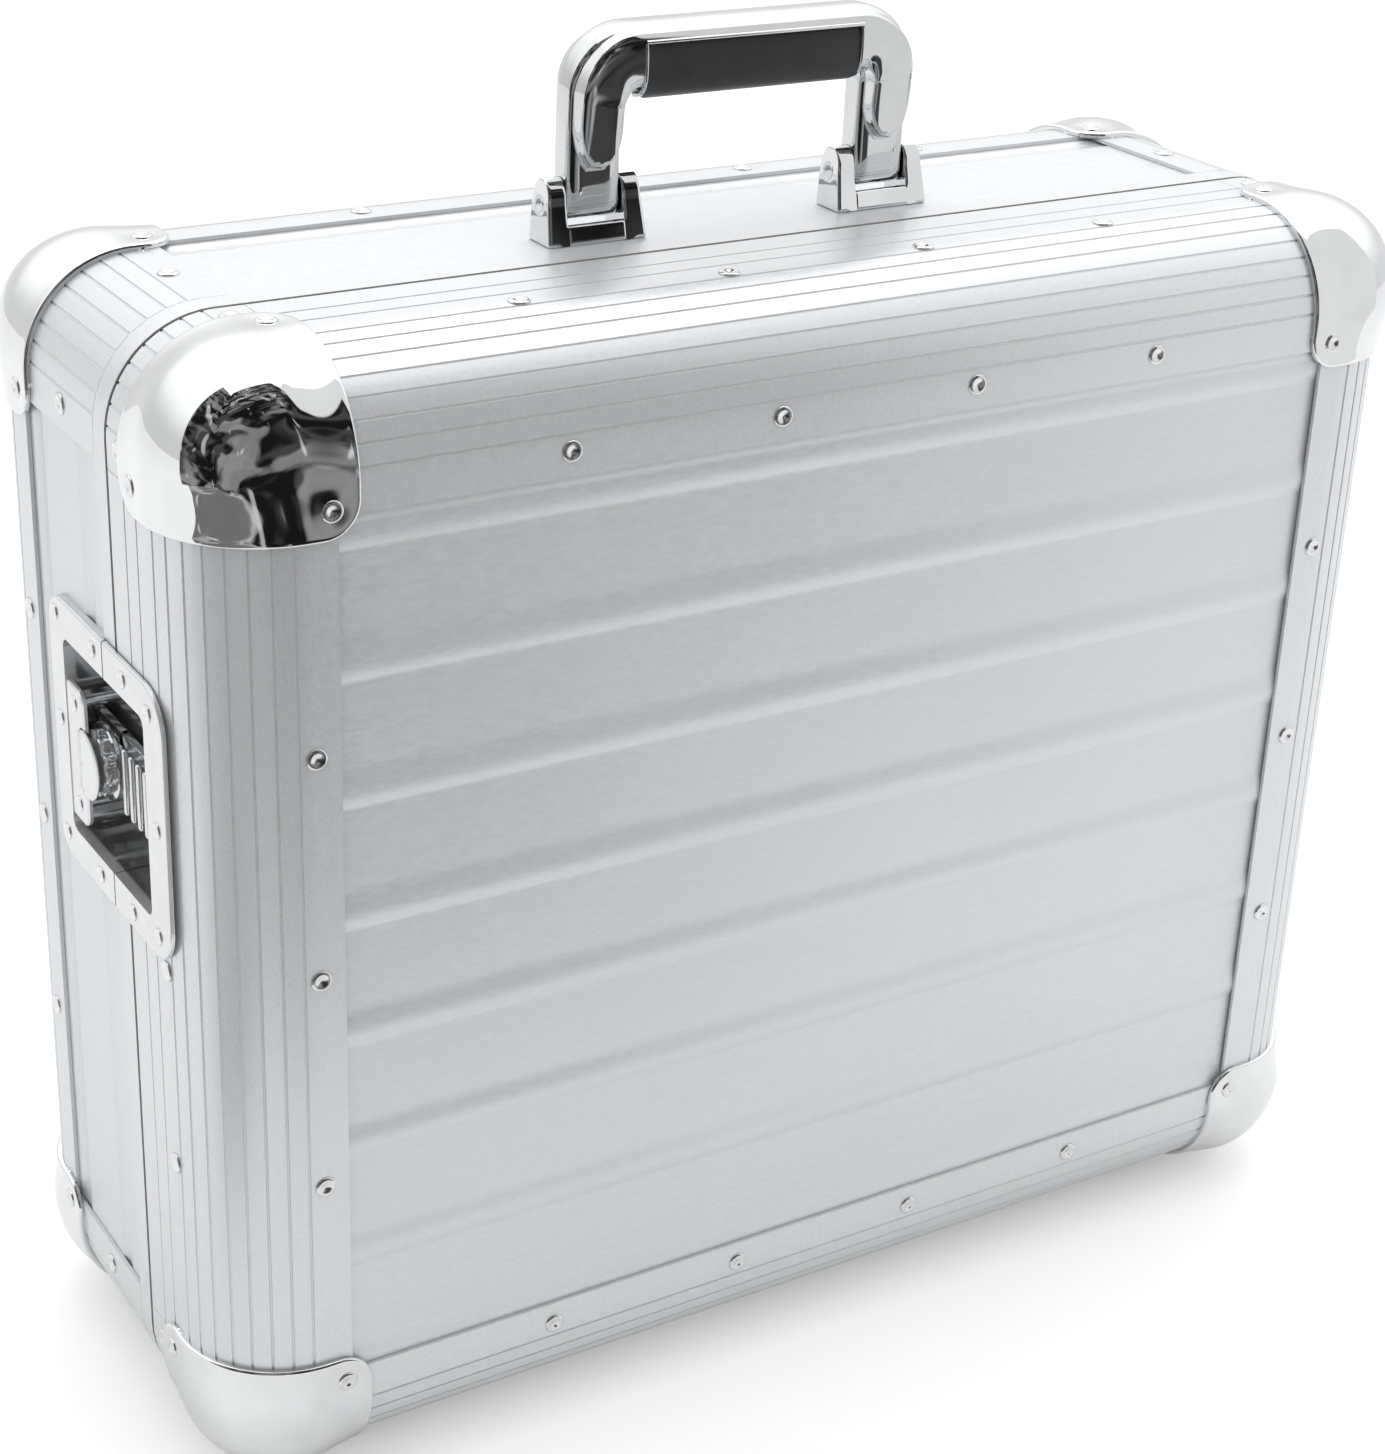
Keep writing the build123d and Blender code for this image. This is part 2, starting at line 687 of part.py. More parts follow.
with BuildPart() as handle_pins:
    with Locations((-ARM_X, HANDLE_PIVOT_Y, PIVOT_Z), (ARM_X, HANDLE_PIVOT_Y, PIVOT_Z)):
        Cylinder(HANDLE_PIN_RADIUS, LUG_TOP_WIDTH + 1.6, rotation=(0, 90, 0))
save(handle_pins, "handle_pins")

BAR_Z = TOP + HANDLE_TOP_RISE - BAR_HEIGHT / 2
BAR_Y = HANDLE_PIVOT_Y - 1.0
ARM_OUTER_X = ARM_X + ARM_WIDTH / 2
ARM_BEND_Z = TOP + 30.0
BEZEL_X = GRIP_LENGTH / 2 + 2.0


def bar_section(plane, width, depth, radius):
    """Rounded section of the handle, width in the plane's x and depth in its y."""
    with BuildSketch(plane) as section:
        RectangleRounded(width, depth, radius)
    return section.sketch


def level_plane(x, y, z):
    """Horizontal plane across an arm."""
    return Plane(origin=(x, y, z), x_dir=(1, 0, 0), z_dir=(0, 0, 1))


def bar_plane(x):
    """Plane square across the bar."""
    return Plane(origin=(x, BAR_Y, BAR_Z), x_dir=(0, 0, 1), z_dir=(-1, 0, 0))


BEND_INSET = 14.9
DIAGONAL = math.sqrt(0.5)
bend_plane = Plane(
    origin=(ARM_OUTER_X - BEND_INSET, BAR_Y, TOP + HANDLE_TOP_RISE - BEND_INSET),
    x_dir=(DIAGONAL, 0, DIAGONAL),
    z_dir=(-DIAGONAL, 0, DIAGONAL),
)
arm_sections = [
    bar_section(level_plane(ARM_X, HANDLE_PIVOT_Y, PIVOT_Z + 6), ARM_WIDTH, ARM_DEPTH, 3.5),
    bar_section(level_plane(ARM_X, HANDLE_PIVOT_Y, ARM_BEND_Z), ARM_WIDTH, ARM_DEPTH + 1, 4.0),
    bar_section(
        level_plane(ARM_OUTER_X - 12.2, BAR_Y, TOP + 44.0), ARM_WIDTH + 2, ARM_DEPTH + 7, 6.0
    ),
    bar_section(bend_plane, BAR_HEIGHT, BAR_DEPTH - 2, 8.0),
    bar_section(bar_plane(BEZEL_X), BAR_HEIGHT, BAR_DEPTH, 9.0),
]
with BuildPart() as right_arm:
    loft(sections=arm_sections)
with BuildPart() as arm_foot:
    block(
        (ARM_X - ARM_WIDTH / 2, ARM_X + ARM_WIDTH / 2),
        (HANDLE_PIVOT_Y - ARM_DEPTH / 2, HANDLE_PIVOT_Y + ARM_DEPTH / 2),
        (PIVOT_Z, PIVOT_Z + 6),
    )
    with Locations((ARM_X, HANDLE_PIVOT_Y, PIVOT_Z)):
        Cylinder(ARM_DEPTH / 2, ARM_WIDTH, rotation=(0, 90, 0))
        Cylinder(HANDLE_PIN_RADIUS + PIN_PLAY, 60, rotation=(0, 90, 0), mode=Mode.SUBTRACT)

with BuildPart() as full_bar:
    extrude(bar_section(bar_plane(BEZEL_X), BAR_HEIGHT, BAR_DEPTH, 9.0), amount=2 * BEZEL_X)

GRIP_TOP_Z = TOP + HANDLE_TOP_RISE - 5.6
with BuildPart() as handle_frame:
    add(full_bar.part)
    block(
        (-GRIP_LENGTH / 2, GRIP_LENGTH / 2),
        (BAR_Y - BAR_DEPTH, BAR_Y + BAR_DEPTH),
        (BAR_Z - BAR_HEIGHT, GRIP_TOP_Z),
        mode=Mode.SUBTRACT,
    )
    for side_part in (right_arm, arm_foot):
        add(side_part.part)
        mirror(side_part.part, about=Plane.YZ)
save(handle_frame, "handle_frame")

with BuildPart() as handle_grip:
    grip_section = bar_section(
        bar_plane(GRIP_LENGTH / 2 - 0.05), BAR_HEIGHT - 0.6, BAR_DEPTH - 0.6, 8.7
    )
    extrude(grip_section, amount=GRIP_LENGTH - 0.1)
    block(
        (-GRIP_LENGTH, GRIP_LENGTH),
        (BAR_Y - BAR_DEPTH, BAR_Y + BAR_DEPTH),
        (GRIP_TOP_Z - 0.05, BAR_Z + BAR_HEIGHT),
        mode=Mode.SUBTRACT,
    )
save(handle_grip, "handle_grip")

# Recessed latches. Every piece is made on the left wall and mirrored to the right one.


def wall_x(proud):
    """X of a plane parallel to the left wall, counted outward from its surface."""
    return LEFT - proud


def wall_plane(proud):
    """Plane on the left wall: sketch x is -Y, sketch y is Z, and extrusions run outward."""
    return Plane(origin=(wall_x(proud), 0, 0), x_dir=(0, -1, 0), z_dir=(-1, 0, 0))


def both_sides(piece, name):
    """Write the left piece and its mirror image on the right."""
    save(piece, f"latch_left_{name}")
    save(mirrored(piece), f"latch_right_{name}")


def dish_half(y_from, y_to, rim_low, corner):
    """Half of the dish between two planes across it: a rim on the wall and a recess through it."""
    inside = (
        (DISH_FRONT_Y + DISH_BACK_Y) / 2,
        (DISH_LOW_Z + DISH_HIGH_Z) / 2,
        DISH_BACK_Y - DISH_FRONT_Y,
        DISH_HIGH_Z - DISH_LOW_Z,
    )
    middle_y, middle_z, width, height = inside
    hole_width = width - DISH_RIM - DISH_FRONT_RIM
    hole_y = middle_y + (DISH_FRONT_RIM - DISH_RIM) / 2
    hole_height = height - 2 * DISH_RIM
    with BuildPart() as half:
        with BuildSketch(wall_plane(rim_low)):
            with Locations((-middle_y, middle_z)):
                RectangleRounded(width, height, corner)
        extrude(amount=RIM_PROUD - rim_low)
        fillet(half.faces().sort_by(Axis.X)[0].edges(), 1.0)
        with BuildSketch(wall_plane(-DISH_DEPTH - DISH_WALL)):
            with Locations((-hole_y, middle_z)):
                RectangleRounded(hole_width + 2 * DISH_WALL, hole_height + 2 * DISH_WALL, 4 + DISH_WALL)
        extrude(amount=DISH_DEPTH + DISH_WALL + RIM_PROUD / 2)
        with BuildSketch(wall_plane(-DISH_DEPTH)):
            with Locations((-hole_y, middle_z)):
                RectangleRounded(hole_width, hole_height, 4)
        extrude(amount=DISH_DEPTH + RIM_PROUD + 1, mode=Mode.SUBTRACT)
        for cut in ((DISH_FRONT_Y - 5, y_from), (y_to, DISH_BACK_Y + 5)):
            if cut[1] - cut[0] > 6:
                block((LEFT - 10, LEFT + 30), cut, (DISH_LOW_Z - 5, DISH_HIGH_Z + 5), mode=Mode.SUBTRACT)
        # The rim steps over the base's lip
        rims = (
            (DISH_LOW_Z - 5, DISH_LOW_Z + DISH_RIM - DISH_WALL),
            (DISH_HIGH_Z - DISH_RIM + DISH_WALL, DISH_HIGH_Z + 5),
        )
        for z_span in rims:
            over_lip = (DISH_SPLIT_Y - 1, LIP_END_Y + 0.3)
            block((wall_x(0.35), wall_x(-SKIN_INSET - 1)), over_lip, z_span, mode=Mode.SUBTRACT)
    return half


DISH_GAP = 1.0
both_sides(dish_half(DISH_FRONT_Y - 1, DISH_SPLIT_Y - DISH_GAP / 2, 0.35, 16), "dish_front")
both_sides(dish_half(DISH_SPLIT_Y + DISH_GAP / 2, DISH_BACK_Y + 1, -SKIN_INSET + 0.05, 11), "dish_rear")

DRUM_RADIUS = 12.0
SPINDLE_RADIUS = 4.0
CAM_RADIUS = 15.4
WING_RADIUS = 14.4
WING_HINGE_Y = LATCH_Y + 3.0
WING_THICKNESS = 1.8
WING_PIN_RADIUS = 0.8
WING_BARREL_RADIUS = 1.5
WING_LOW = -0.4
WING_PIVOT = WING_LOW + WING_BARREL_RADIUS
WING_EDGE_Y = LATCH_Y + 0.8
LUG_LOW = -1.2
LUG_WIDTH = 2.6
LUG_HEIGHT = 2.4
POST_RADIUS = 4.8
POST_Y = LATCH_Y + 10.0
POST_RISE = 20.0

with BuildPart() as latch_plate:
    with BuildSketch(wall_plane(0.0)):
        with Locations((-(LATCH_Y + 8.6), LATCH_Z)):
            RectangleRounded(16.0, 54, 6)
        with Locations((-LATCH_Y, LATCH_Z)):
            Circle(CAM_RADIUS + 0.6, mode=Mode.SUBTRACT)
    extrude(amount=1.6)
    with BuildSketch(wall_plane(-DISH_DEPTH + 0.02)):
        with Locations((-POST_Y, LATCH_Z - POST_RISE), (-POST_Y, LATCH_Z + POST_RISE)):
            Circle(POST_RADIUS)
    extrude(amount=DISH_DEPTH)
both_sides(latch_plate, "plate")

with BuildPart() as drum:
    for low, high, radius in (
        (-DISH_DEPTH + 0.3, -9.0, SPINDLE_RADIUS),
        (-9.2, -1.0, DRUM_RADIUS),
        (-7.4, -4.6, CAM_RADIUS),
    ):
        with BuildSketch(wall_plane(low)):
            with Locations((-LATCH_Y, LATCH_Z)):
                Circle(radius)
        extrude(amount=high - low)
    drum_top = drum.faces().sort_by(Axis.X)[0]
    fillet(drum_top.edges(), 0.6)
    lug_spots = [(-WING_HINGE_Y, LATCH_Z + rise) for rise in (-8.0, 8.0)]
    with BuildSketch(wall_plane(LUG_LOW)):
        with Locations(*lug_spots):
            RectangleRounded(LUG_WIDTH, LUG_HEIGHT, 0.5)
    extrude(amount=WING_PIVOT + LUG_WIDTH / 2 - LUG_LOW)
    with Locations((wall_x(WING_PIVOT), WING_HINGE_Y, LATCH_Z)):
        Cylinder(WING_PIN_RADIUS + 0.02, 40, mode=Mode.SUBTRACT)
both_sides(drum, "drum")

with BuildPart() as wing_pin:
    with Locations((wall_x(WING_PIVOT), WING_HINGE_Y, LATCH_Z)):
        Cylinder(WING_PIN_RADIUS, 18.4)
both_sides(wing_pin, "wing_pin")

with BuildPart() as wing:
    with BuildSketch(wall_plane(WING_LOW)):
        with Locations((-LATCH_Y, LATCH_Z)):
            Circle(WING_RADIUS)
        with Locations((-WING_EDGE_Y - 20, LATCH_Z)):
            Rectangle(40, 60, mode=Mode.SUBTRACT)
        with Locations((-LATCH_Y + 9.2, LATCH_Z)):
            RectangleRounded(3.4, 10, 1.6, mode=Mode.SUBTRACT)
    extrude(amount=WING_THICKNESS)
    fillet(wing.faces().sort_by(Axis.X)[0].edges(), 0.5)
    with Locations((wall_x(WING_PIVOT), WING_HINGE_Y, LATCH_Z)):
        Cylinder(WING_BARREL_RADIUS, 13.0)
    block(
        (wall_x(WING_LOW), wall_x(WING_LOW + WING_THICKNESS)),
        (WING_EDGE_Y - 0.2, WING_HINGE_Y),
        (LATCH_Z - 6.5, LATCH_Z + 6.5),
    )
    with Locations((wall_x(WING_PIVOT), WING_HINGE_Y, LATCH_Z)):
        Cylinder(WING_PIN_RADIUS + PIN_PLAY, 40, mode=Mode.SUBTRACT)
both_sides(wing, "wing")

# Hook bar: a slotted plate round the spindle, with a raised ribbed claw over the keeper
HOOK_HALF_HEIGHT = 13.0
HOOK_FRONT_Y = -37.5
HOOK_TRAVEL = 8.0
HOOK_LOW = -12.6
HOOK_HIGH = -9.6
CLAW_BACK_Y = -13.0
CLAW_HIGH = -5.2
RIB_COUNT = 4

with BuildPart() as hook:
    z_span = (LATCH_Z - HOOK_HALF_HEIGHT, LATCH_Z + HOOK_HALF_HEIGHT)
    block((wall_x(HOOK_LOW), wall_x(HOOK_HIGH)), (HOOK_FRONT_Y, LATCH_Y + 16.3), z_span)
    block((wall_x(HOOK_LOW), wall_x(CLAW_HIGH - 2.4)), (HOOK_FRONT_Y, CLAW_BACK_Y), z_span)
    rib_pitch = (CLAW_BACK_Y - HOOK_FRONT_Y - 3.0) / (RIB_COUNT - 1)
    for number in range(RIB_COUNT):
        rib_y = HOOK_FRONT_Y + 1.5 + number * rib_pitch
        block((wall_x(HOOK_LOW), wall_x(CLAW_HIGH)), (rib_y - 1.5, rib_y + 1.5), z_span)
    fillet(hook.faces().sort_by(Axis.X)[0:RIB_COUNT].edges(), 0.7)
    with BuildSketch(wall_plane(HOOK_LOW - 1)):
        with Locations((-(LATCH_Y + HOOK_TRAVEL / 2), LATCH_Z)):
            SlotOverall(HOOK_TRAVEL + 2 * SPINDLE_RADIUS + 1.0, 2 * SPINDLE_RADIUS + 0.8)
    extrude(amount=HOOK_HIGH - HOOK_LOW + 1.5, mode=Mode.SUBTRACT)
both_sides(hook, "hook")

KEEPER_TOP = HOOK_LOW - 0.5
with BuildPart() as keeper:
    block((wall_x(-DISH_DEPTH + 0.02), wall_x(-DISH_DEPTH + 1.4)), (-46.0, -21.5), z_span)
    block((wall_x(-DISH_DEPTH + 0.02), wall_x(KEEPER_TOP)), (-44.5, -40.5), z_span)
    fillet(keeper.edges().filter_by(Axis.Z).group_by(Axis.X)[0], 0.4)
both_sides(keeper, "keeper")

# Dish and plate rivets of both sides, one node for each half of the case

dish_rivet = dished_head(3.2, 1.1)
rim_high_z = DISH_HIGH_Z - DISH_RIM / 2
rim_low_z = DISH_LOW_Z + DISH_RIM / 2
rim_back_y = DISH_BACK_Y - DISH_RIM / 2
rim_front_y = DISH_FRONT_Y + DISH_FRONT_RIM / 2
rear_spots = (
    (rim_back_y, rim_high_z),
    (-9.5, rim_high_z),
    (rim_back_y, MIDDLE_Z + 54.5),
    (rim_back_y, rim_low_z + 2),
    (-6.0, rim_low_z),
)
front_spots = (
    (-38.0, rim_high_z),
    (rim_front_y + 4, rim_high_z - 3),
    (rim_front_y, MIDDLE_Z + 51),
    (rim_front_y + 3, rim_low_z + 2.5),
    (-37.5, rim_low_z),
)
plate_spots = tuple((POST_Y, LATCH_Z + side * POST_RISE) for side in (-1, 1))


def wall_rivets(spots_and_levels):
    """Rivets on both side walls, from (y, z) places and how far proud each one sits."""
    with BuildPart() as group:
        for (y, z), proud in spots_and_levels:
            with Locations(wall_plane(proud + RIVET_LIFT) * Pos(-y, z, 0)):
                add(dish_rivet.part)
        mirror(about=Plane.YZ)
    return group


save(wall_rivets([(spot, RIM_PROUD) for spot in front_spots]), "latch_lid_rivets")
save(
    wall_rivets(
        [(spot, RIM_PROUD) for spot in rear_spots] + [(spot, 1.6) for spot in plate_spots]
    ),
    "latch_base_rivets",
)
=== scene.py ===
# %% [markdown]
# # An aluminium flight case for a turntable
# The case is metal almost everywhere, and metal shows its surroundings more than its own colour.
# So this lesson first builds the surroundings: a white photographic tent that is open at the front.
# Then it makes the finishes, and last the pieces that need smoother shapes.

import json
import math

import bmesh
import bpy
import numpy as np
from mathutils import Matrix, Vector


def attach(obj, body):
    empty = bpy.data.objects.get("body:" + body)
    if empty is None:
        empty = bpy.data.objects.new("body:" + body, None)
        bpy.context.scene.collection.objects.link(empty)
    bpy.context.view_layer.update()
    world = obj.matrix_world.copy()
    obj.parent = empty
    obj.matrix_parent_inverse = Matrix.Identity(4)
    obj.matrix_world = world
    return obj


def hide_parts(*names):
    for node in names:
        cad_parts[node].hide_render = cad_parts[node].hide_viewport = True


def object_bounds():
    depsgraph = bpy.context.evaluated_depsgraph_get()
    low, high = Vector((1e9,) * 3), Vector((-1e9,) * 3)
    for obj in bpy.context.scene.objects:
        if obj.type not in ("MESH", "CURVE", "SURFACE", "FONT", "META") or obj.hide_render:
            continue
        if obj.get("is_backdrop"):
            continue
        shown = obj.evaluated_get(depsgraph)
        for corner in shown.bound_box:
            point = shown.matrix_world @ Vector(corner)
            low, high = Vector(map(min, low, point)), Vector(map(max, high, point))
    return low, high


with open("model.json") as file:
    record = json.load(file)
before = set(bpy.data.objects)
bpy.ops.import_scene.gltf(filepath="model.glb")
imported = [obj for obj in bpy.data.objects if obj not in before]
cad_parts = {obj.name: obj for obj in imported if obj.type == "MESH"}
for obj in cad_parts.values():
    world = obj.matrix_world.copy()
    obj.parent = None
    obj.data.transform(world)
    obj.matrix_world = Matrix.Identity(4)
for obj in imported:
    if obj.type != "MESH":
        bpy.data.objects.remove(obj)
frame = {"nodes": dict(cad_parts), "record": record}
cad_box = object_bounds()
nodes = frame["nodes"]
scene = bpy.context.scene
MM = 0.001
print("case box in millimetres:", [[round(v / MM, 1) for v in corner] for corner in cad_box])

# %% Sizes of the case in millimetres
CASE_LOW = np.array([-260.0, -102.0, 8.0])
CASE_HIGH = np.array([260.0, 102.0, 445.0])
LEFT, FRONT, BOTTOM = CASE_LOW
MIDDLE_Z = 226.5
HALF_HEIGHT = MIDDLE_Z - BOTTOM
print("without its feet the case measures", CASE_HIGH - CASE_LOW)

# %% [markdown]
# ## Camera
# A long lens from a little over a metre away, to the left of the front and above it.
# The three unit vectors are the camera's own right, down and forward.

# %% Camera
CAMERA_PLACE = (-0.55847, -0.87321, 0.72106)
CAMERA_RIGHT = (0.85523568, -0.51686664, 0.03769365)
CAMERA_DOWN = (-0.19134399, -0.38252808, -0.90391357)
CAMERA_FORWARD = (0.48162165, 0.76584668, -0.42605098)

lens = bpy.data.cameras.new("camera")
lens.lens = 69.71
lens.sensor_width = 36.0
lens.clip_end = 50.0
camera = bpy.data.objects.new("camera", lens)
axes = Matrix((CAMERA_RIGHT, -Vector(CAMERA_DOWN), -Vector(CAMERA_FORWARD))).transposed()
camera.matrix_world = Matrix.Translation(CAMERA_PLACE) @ axes.to_4x4()
scene.collection.objects.link(camera)
scene.camera = camera
print("camera is", round(Vector(CAMERA_PLACE).length, 2), "m from the middle of the floor")

# %% [markdown]
# ## Shader maths
# A material is a small calculation. Written as Python expressions it stays readable, so one class
# wraps a socket and turns +, - and * into Math nodes.


# %% Shader maths
class Wire:
    """One number or colour that runs between nodes."""

    def __init__(self, sheet, socket):
        self.sheet = sheet
        self.socket = socket

    def maths(self, operation, *others):
        return self.sheet.node("Math", {"operation": operation}, (self, *others))

    def __add__(self, other):
        return self.maths("ADD", other)

    def __mul__(self, other):
        return self.maths("MULTIPLY", other)

    def __sub__(self, other):
        return self.maths("SUBTRACT", other)

    def __rsub__(self, other):
        return self.sheet.node("Math", {"operation": "SUBTRACT"}, (other, self))

    def ramp(self, low, high, out_low=0.0, out_high=1.0):
        """Smooth change from out_low at low to out_high at high, held beyond both."""
        inputs = {"Value": self, "From Min": low, "From Max": high}
        inputs |= {"To Min": out_low, "To Max": out_high}
        return self.sheet.node("MapRange", {"interpolation_type": "SMOOTHSTEP"}, inputs)

    def beside(self, name):
        """Another output of the node that this one comes from."""
        return Wire(self.sheet, self.socket.node.outputs[name])


NOISE_ROUGHNESS = 0.55


class Sheet:
    """The node tree of one material or of the world."""

    def __init__(self, owner):
        owner.use_nodes = True
        self.tree = owner.node_tree
        self.tree.nodes.clear()

    def node(self, kind, settings=None, inputs=(), out=0):
        """One node: its type, settings, values or links of its sockets, and the output wanted."""
        made = self.tree.nodes.new("ShaderNode" + kind)
        for name, value in (settings or {}).items():
            setattr(made, name, value)
        pairs = inputs.items() if isinstance(inputs, dict) else enumerate(inputs)
        for name, value in pairs:
            if isinstance(value, Wire):
                self.tree.links.new(value.socket, made.inputs[name])
            else:
                made.inputs[name].default_value = value
        return Wire(self, made.outputs[out]) if made.outputs else None

    def object_place(self):
        return self.node("TexCoord", out="Object")

    def mix(self, share, first, second):
        """Colour between first and second."""
        settings = {"data_type": "RGBA", "blend_type": "MIX"}
        return self.node("Mix", settings, {0: share, 6: first, 7: second}, out=2)

    def noise(self, scale, detail=3.0, stretch=None, twist=0.0):
        """Soft random pattern, stretched by the three factors in stretch."""
        place = self.object_place()
        if stretch:
            place = self.node("Mapping", None, {"Vector": place, "Scale": stretch})
        inputs = {"Vector": place, "Scale": scale, "Detail": detail}
        inputs |= {"Roughness": NOISE_ROUGHNESS, "Distortion": twist}
        return self.node("TexNoise", None, inputs, out="Fac")

    def bump(self, height, distance):
        inputs = {"Height": height, "Distance": distance, "Strength": 1.0}
        return self.node("Bump", None, inputs)

    def finish(self, **values):
        """Closes a material with one Principled shader. Names use _ for a space."""
        inputs = {name.replace("_", " "): value for name, value in values.items()}
        shader = self.node("BsdfPrincipled", None, inputs)
        self.node("OutputMaterial", None, {"Surface": shader})


def grey(level, warm=0.0):
    """Neutral colour, a little warmer or cooler."""
    return (level * (1 + warm), level, level * (1 - warm), 1.0)


# %% [markdown]
# ## Surroundings
# The real case stood in a white tent whose front was open to a dark room. The world is that tent:
# white above, a little dimmer at the sides. Cards that only reflections can see stand for the room.

# %% World
# Each ramp: two parts of the direction along its axis, then the brightness at each.
TENT_UP = (0.1, 0.6, 0.85, 1.45)
TENT_BACK = (-1.0, 0.3, 0.9, 1.0)
TENT_RIGHT = (-1.0, 0.2, 0.85, 1.0)

world = bpy.data.worlds.new("tent")
scene.world = world
tent = Sheet(world)
direction = tent.node("TexCoord", out="Generated")
along_x = tent.node("SeparateXYZ", None, (direction,))
along_y, along_z = along_x.beside("Y"), along_x.beside("Z")
level = along_z.ramp(*TENT_UP) * along_y.ramp(*TENT_BACK) * along_x.ramp(*TENT_RIGHT)
shade = tent.node("CombineColor", None, (level, level, level))
is_camera = tent.node("LightPath", out="Is Camera Ray")
seen = is_camera + is_camera.beside("Is Transmission Ray")
backdrop = tent.mix(seen, shade, grey(1.0))
background = tent.node("Background", None, {"Color": backdrop, "Strength": 1.0})
tent.node("OutputWorld", None, {"Surface": background})
print("tent made of", len(tent.tree.nodes), "nodes")


# %% [markdown]
# ## Grids
# Every new shape here is a rectangle of points that a formula bends: a point's row and column are
# its two parameters. Neighbouring points make the faces, so no face is ever written by hand.


# %% Grids
MERGE_DISTANCE = 0.003


def surface(name, sheets, sharp=None):
    """One smooth mesh from grids of points in millimetres, each of shape (rows, columns, 3).

    Four neighbouring points of a grid make a face. Grids that share a border are merged there, and
    borders between faces that meet at more than sharp degrees stay crisp.
    """
    places, faces, start = [], [], 0
    for sheet in sheets:
        rows, columns = sheet.shape[:2]
        index = start + np.arange(rows * columns).reshape(rows, columns)
        corners = (index[:-1, :-1], index[:-1, 1:], index[1:, 1:], index[1:, :-1])
        faces.append(np.stack(corners, -1).reshape(-1, 4))
        places.append(sheet.reshape(-1, 3))
        start += rows * columns
    mesh = bpy.data.meshes.new(name)
    mesh.from_pydata(np.concatenate(places) * MM, [], np.concatenate(faces))
    shape = bmesh.new()
    shape.from_mesh(mesh)
    bmesh.ops.remove_doubles(shape, verts=shape.verts, dist=MERGE_DISTANCE * MM)
    bmesh.ops.recalc_face_normals(shape, faces=shape.faces)
    shape.to_mesh(mesh)
    shape.free()
    mesh.shade_smooth()
    if sharp:
        mesh.set_sharp_from_angle(angle=math.radians(sharp))
    piece = bpy.data.objects.new(name, mesh)
    scene.collection.objects.link(piece)
    return piece


def slab(front, back):
    """Closed slab: two sheets of the same shape, and a strip along each of their four edges."""
    edges = (np.s_[0], np.s_[-1], np.s_[:, 0], np.s_[:, -1])
    return [front, back] + [np.stack([front[edge], back[edge]]) for edge in edges]


def ease(low, high, value):
    """0 below low, 1 above high, and 3 t² - 2 t³ between, with t the share of the way."""
    share = np.clip((value - low) / (high - low), 0, 1)
    return share * share * (3 - 2 * share)


def unfold(first, second):
    """Two lists of parameters as a grid: every value of first against every value of second."""
    return np.meshgrid(first, second, indexing="ij")


# %% Floor
def flat_card(name, corner, along, across):
    """Flat stage card from one corner and its two edges, in metres."""
    corner, along, across = (np.array(v, float) / MM for v in (corner, along, across))
    far = corner + across
    card = surface(name, [np.array([[corner, corner + along], [far, far + along]])])
    card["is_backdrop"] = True
    return card


FLOOR_GREY = 0.76
FLOOR_GLOW = 0.26
FLOOR_GLOW_MIRRORED = 0.15

floor = flat_card("floor", (-6, -6, 0), (12, 0, 0), (0, 12, 0))
floor_paper = bpy.data.materials.new("white_paper")
paper = Sheet(floor_paper)
is_camera = paper.node("LightPath", out="Is Camera Ray")
mirrored = is_camera.beside("Is Glossy Ray") * FLOOR_GLOW_MIRRORED
seen = is_camera + is_camera.beside("Is Transmission Ray") + mirrored
matt = paper.node("BsdfDiffuse", None, {"Color": grey(FLOOR_GREY)})
glow = paper.node("Emission", None, {"Color": grey(1.0), "Strength": seen * FLOOR_GLOW})
paper.node("OutputMaterial", None, {"Surface": paper.node("AddShader", None, (matt, glow))})
floor.data.materials.append(floor_paper)
print("the floor is", [round(v) for v in floor.dimensions], "m in size")

# %% Dark room in front
SHAPE_LIGHT = (0.01, 0.07)
LAMP_LIGHT = 0.45
CLUTTER_LIGHT = 0.24
ROOM_FLOOR_LIGHT = 0.18
OPEN_SIDE_LIGHT = 0.88

room_look = bpy.data.materials.new("room")
room = Sheet(room_look)
shapes = room.noise(2.1, 2.0, stretch=(1.0, 1.0, 1.4), twist=1.2)
lights = room.noise(3.7, 1.0, stretch=(1.6, 1.0, 0.7), twist=0.6)
place = room.node("SeparateXYZ", None, (room.object_place(),))
near = place.ramp(0.05, 0.25, 1.0, 0.0)
clutter = room.noise(2.4, 1.5, stretch=(1.0, 1.0, 1.5), twist=0.8)
dark = shapes.ramp(0.45, 0.62, *SHAPE_LIGHT) + lights.ramp(0.62, 0.70, 0.0, LAMP_LIGHT)
dark = dark + near * clutter.ramp(0.46, 0.60, 0.0, CLUTTER_LIGHT)
on_floor = place.beside("Z").ramp(0.004, 0.006, ROOM_FLOOR_LIGHT, 0.0)
open_side = place.ramp(0.40, 0.44, 0.0, 1.0)
room_shade = (dark + on_floor) * (1 - open_side) + open_side * OPEN_SIDE_LIGHT
room_colour = room.node("CombineColor", None, (room_shade, room_shade, room_shade))
room.node("OutputMaterial", None, {"Surface": room.node("Emission", None, {"Color": room_colour})})
CARDS = (
    ("room_front", (-1.2, -0.65, 0.0), (2.8, 0, 0), (0, 0, 3.4)),
    ("room_left", (-1.2, -0.65, 0.0), (0, 0.65, 0), (0, 0, 3.0)),
    ("room_floor_front", (-1.2, -0.65, 0.003), (1.35, 0, 0), (0, 0.23, 0)),
    ("room_floor_left", (-1.2, -0.42, 0.003), (0.75, 0, 0), (0, 0.3, 0)),
)
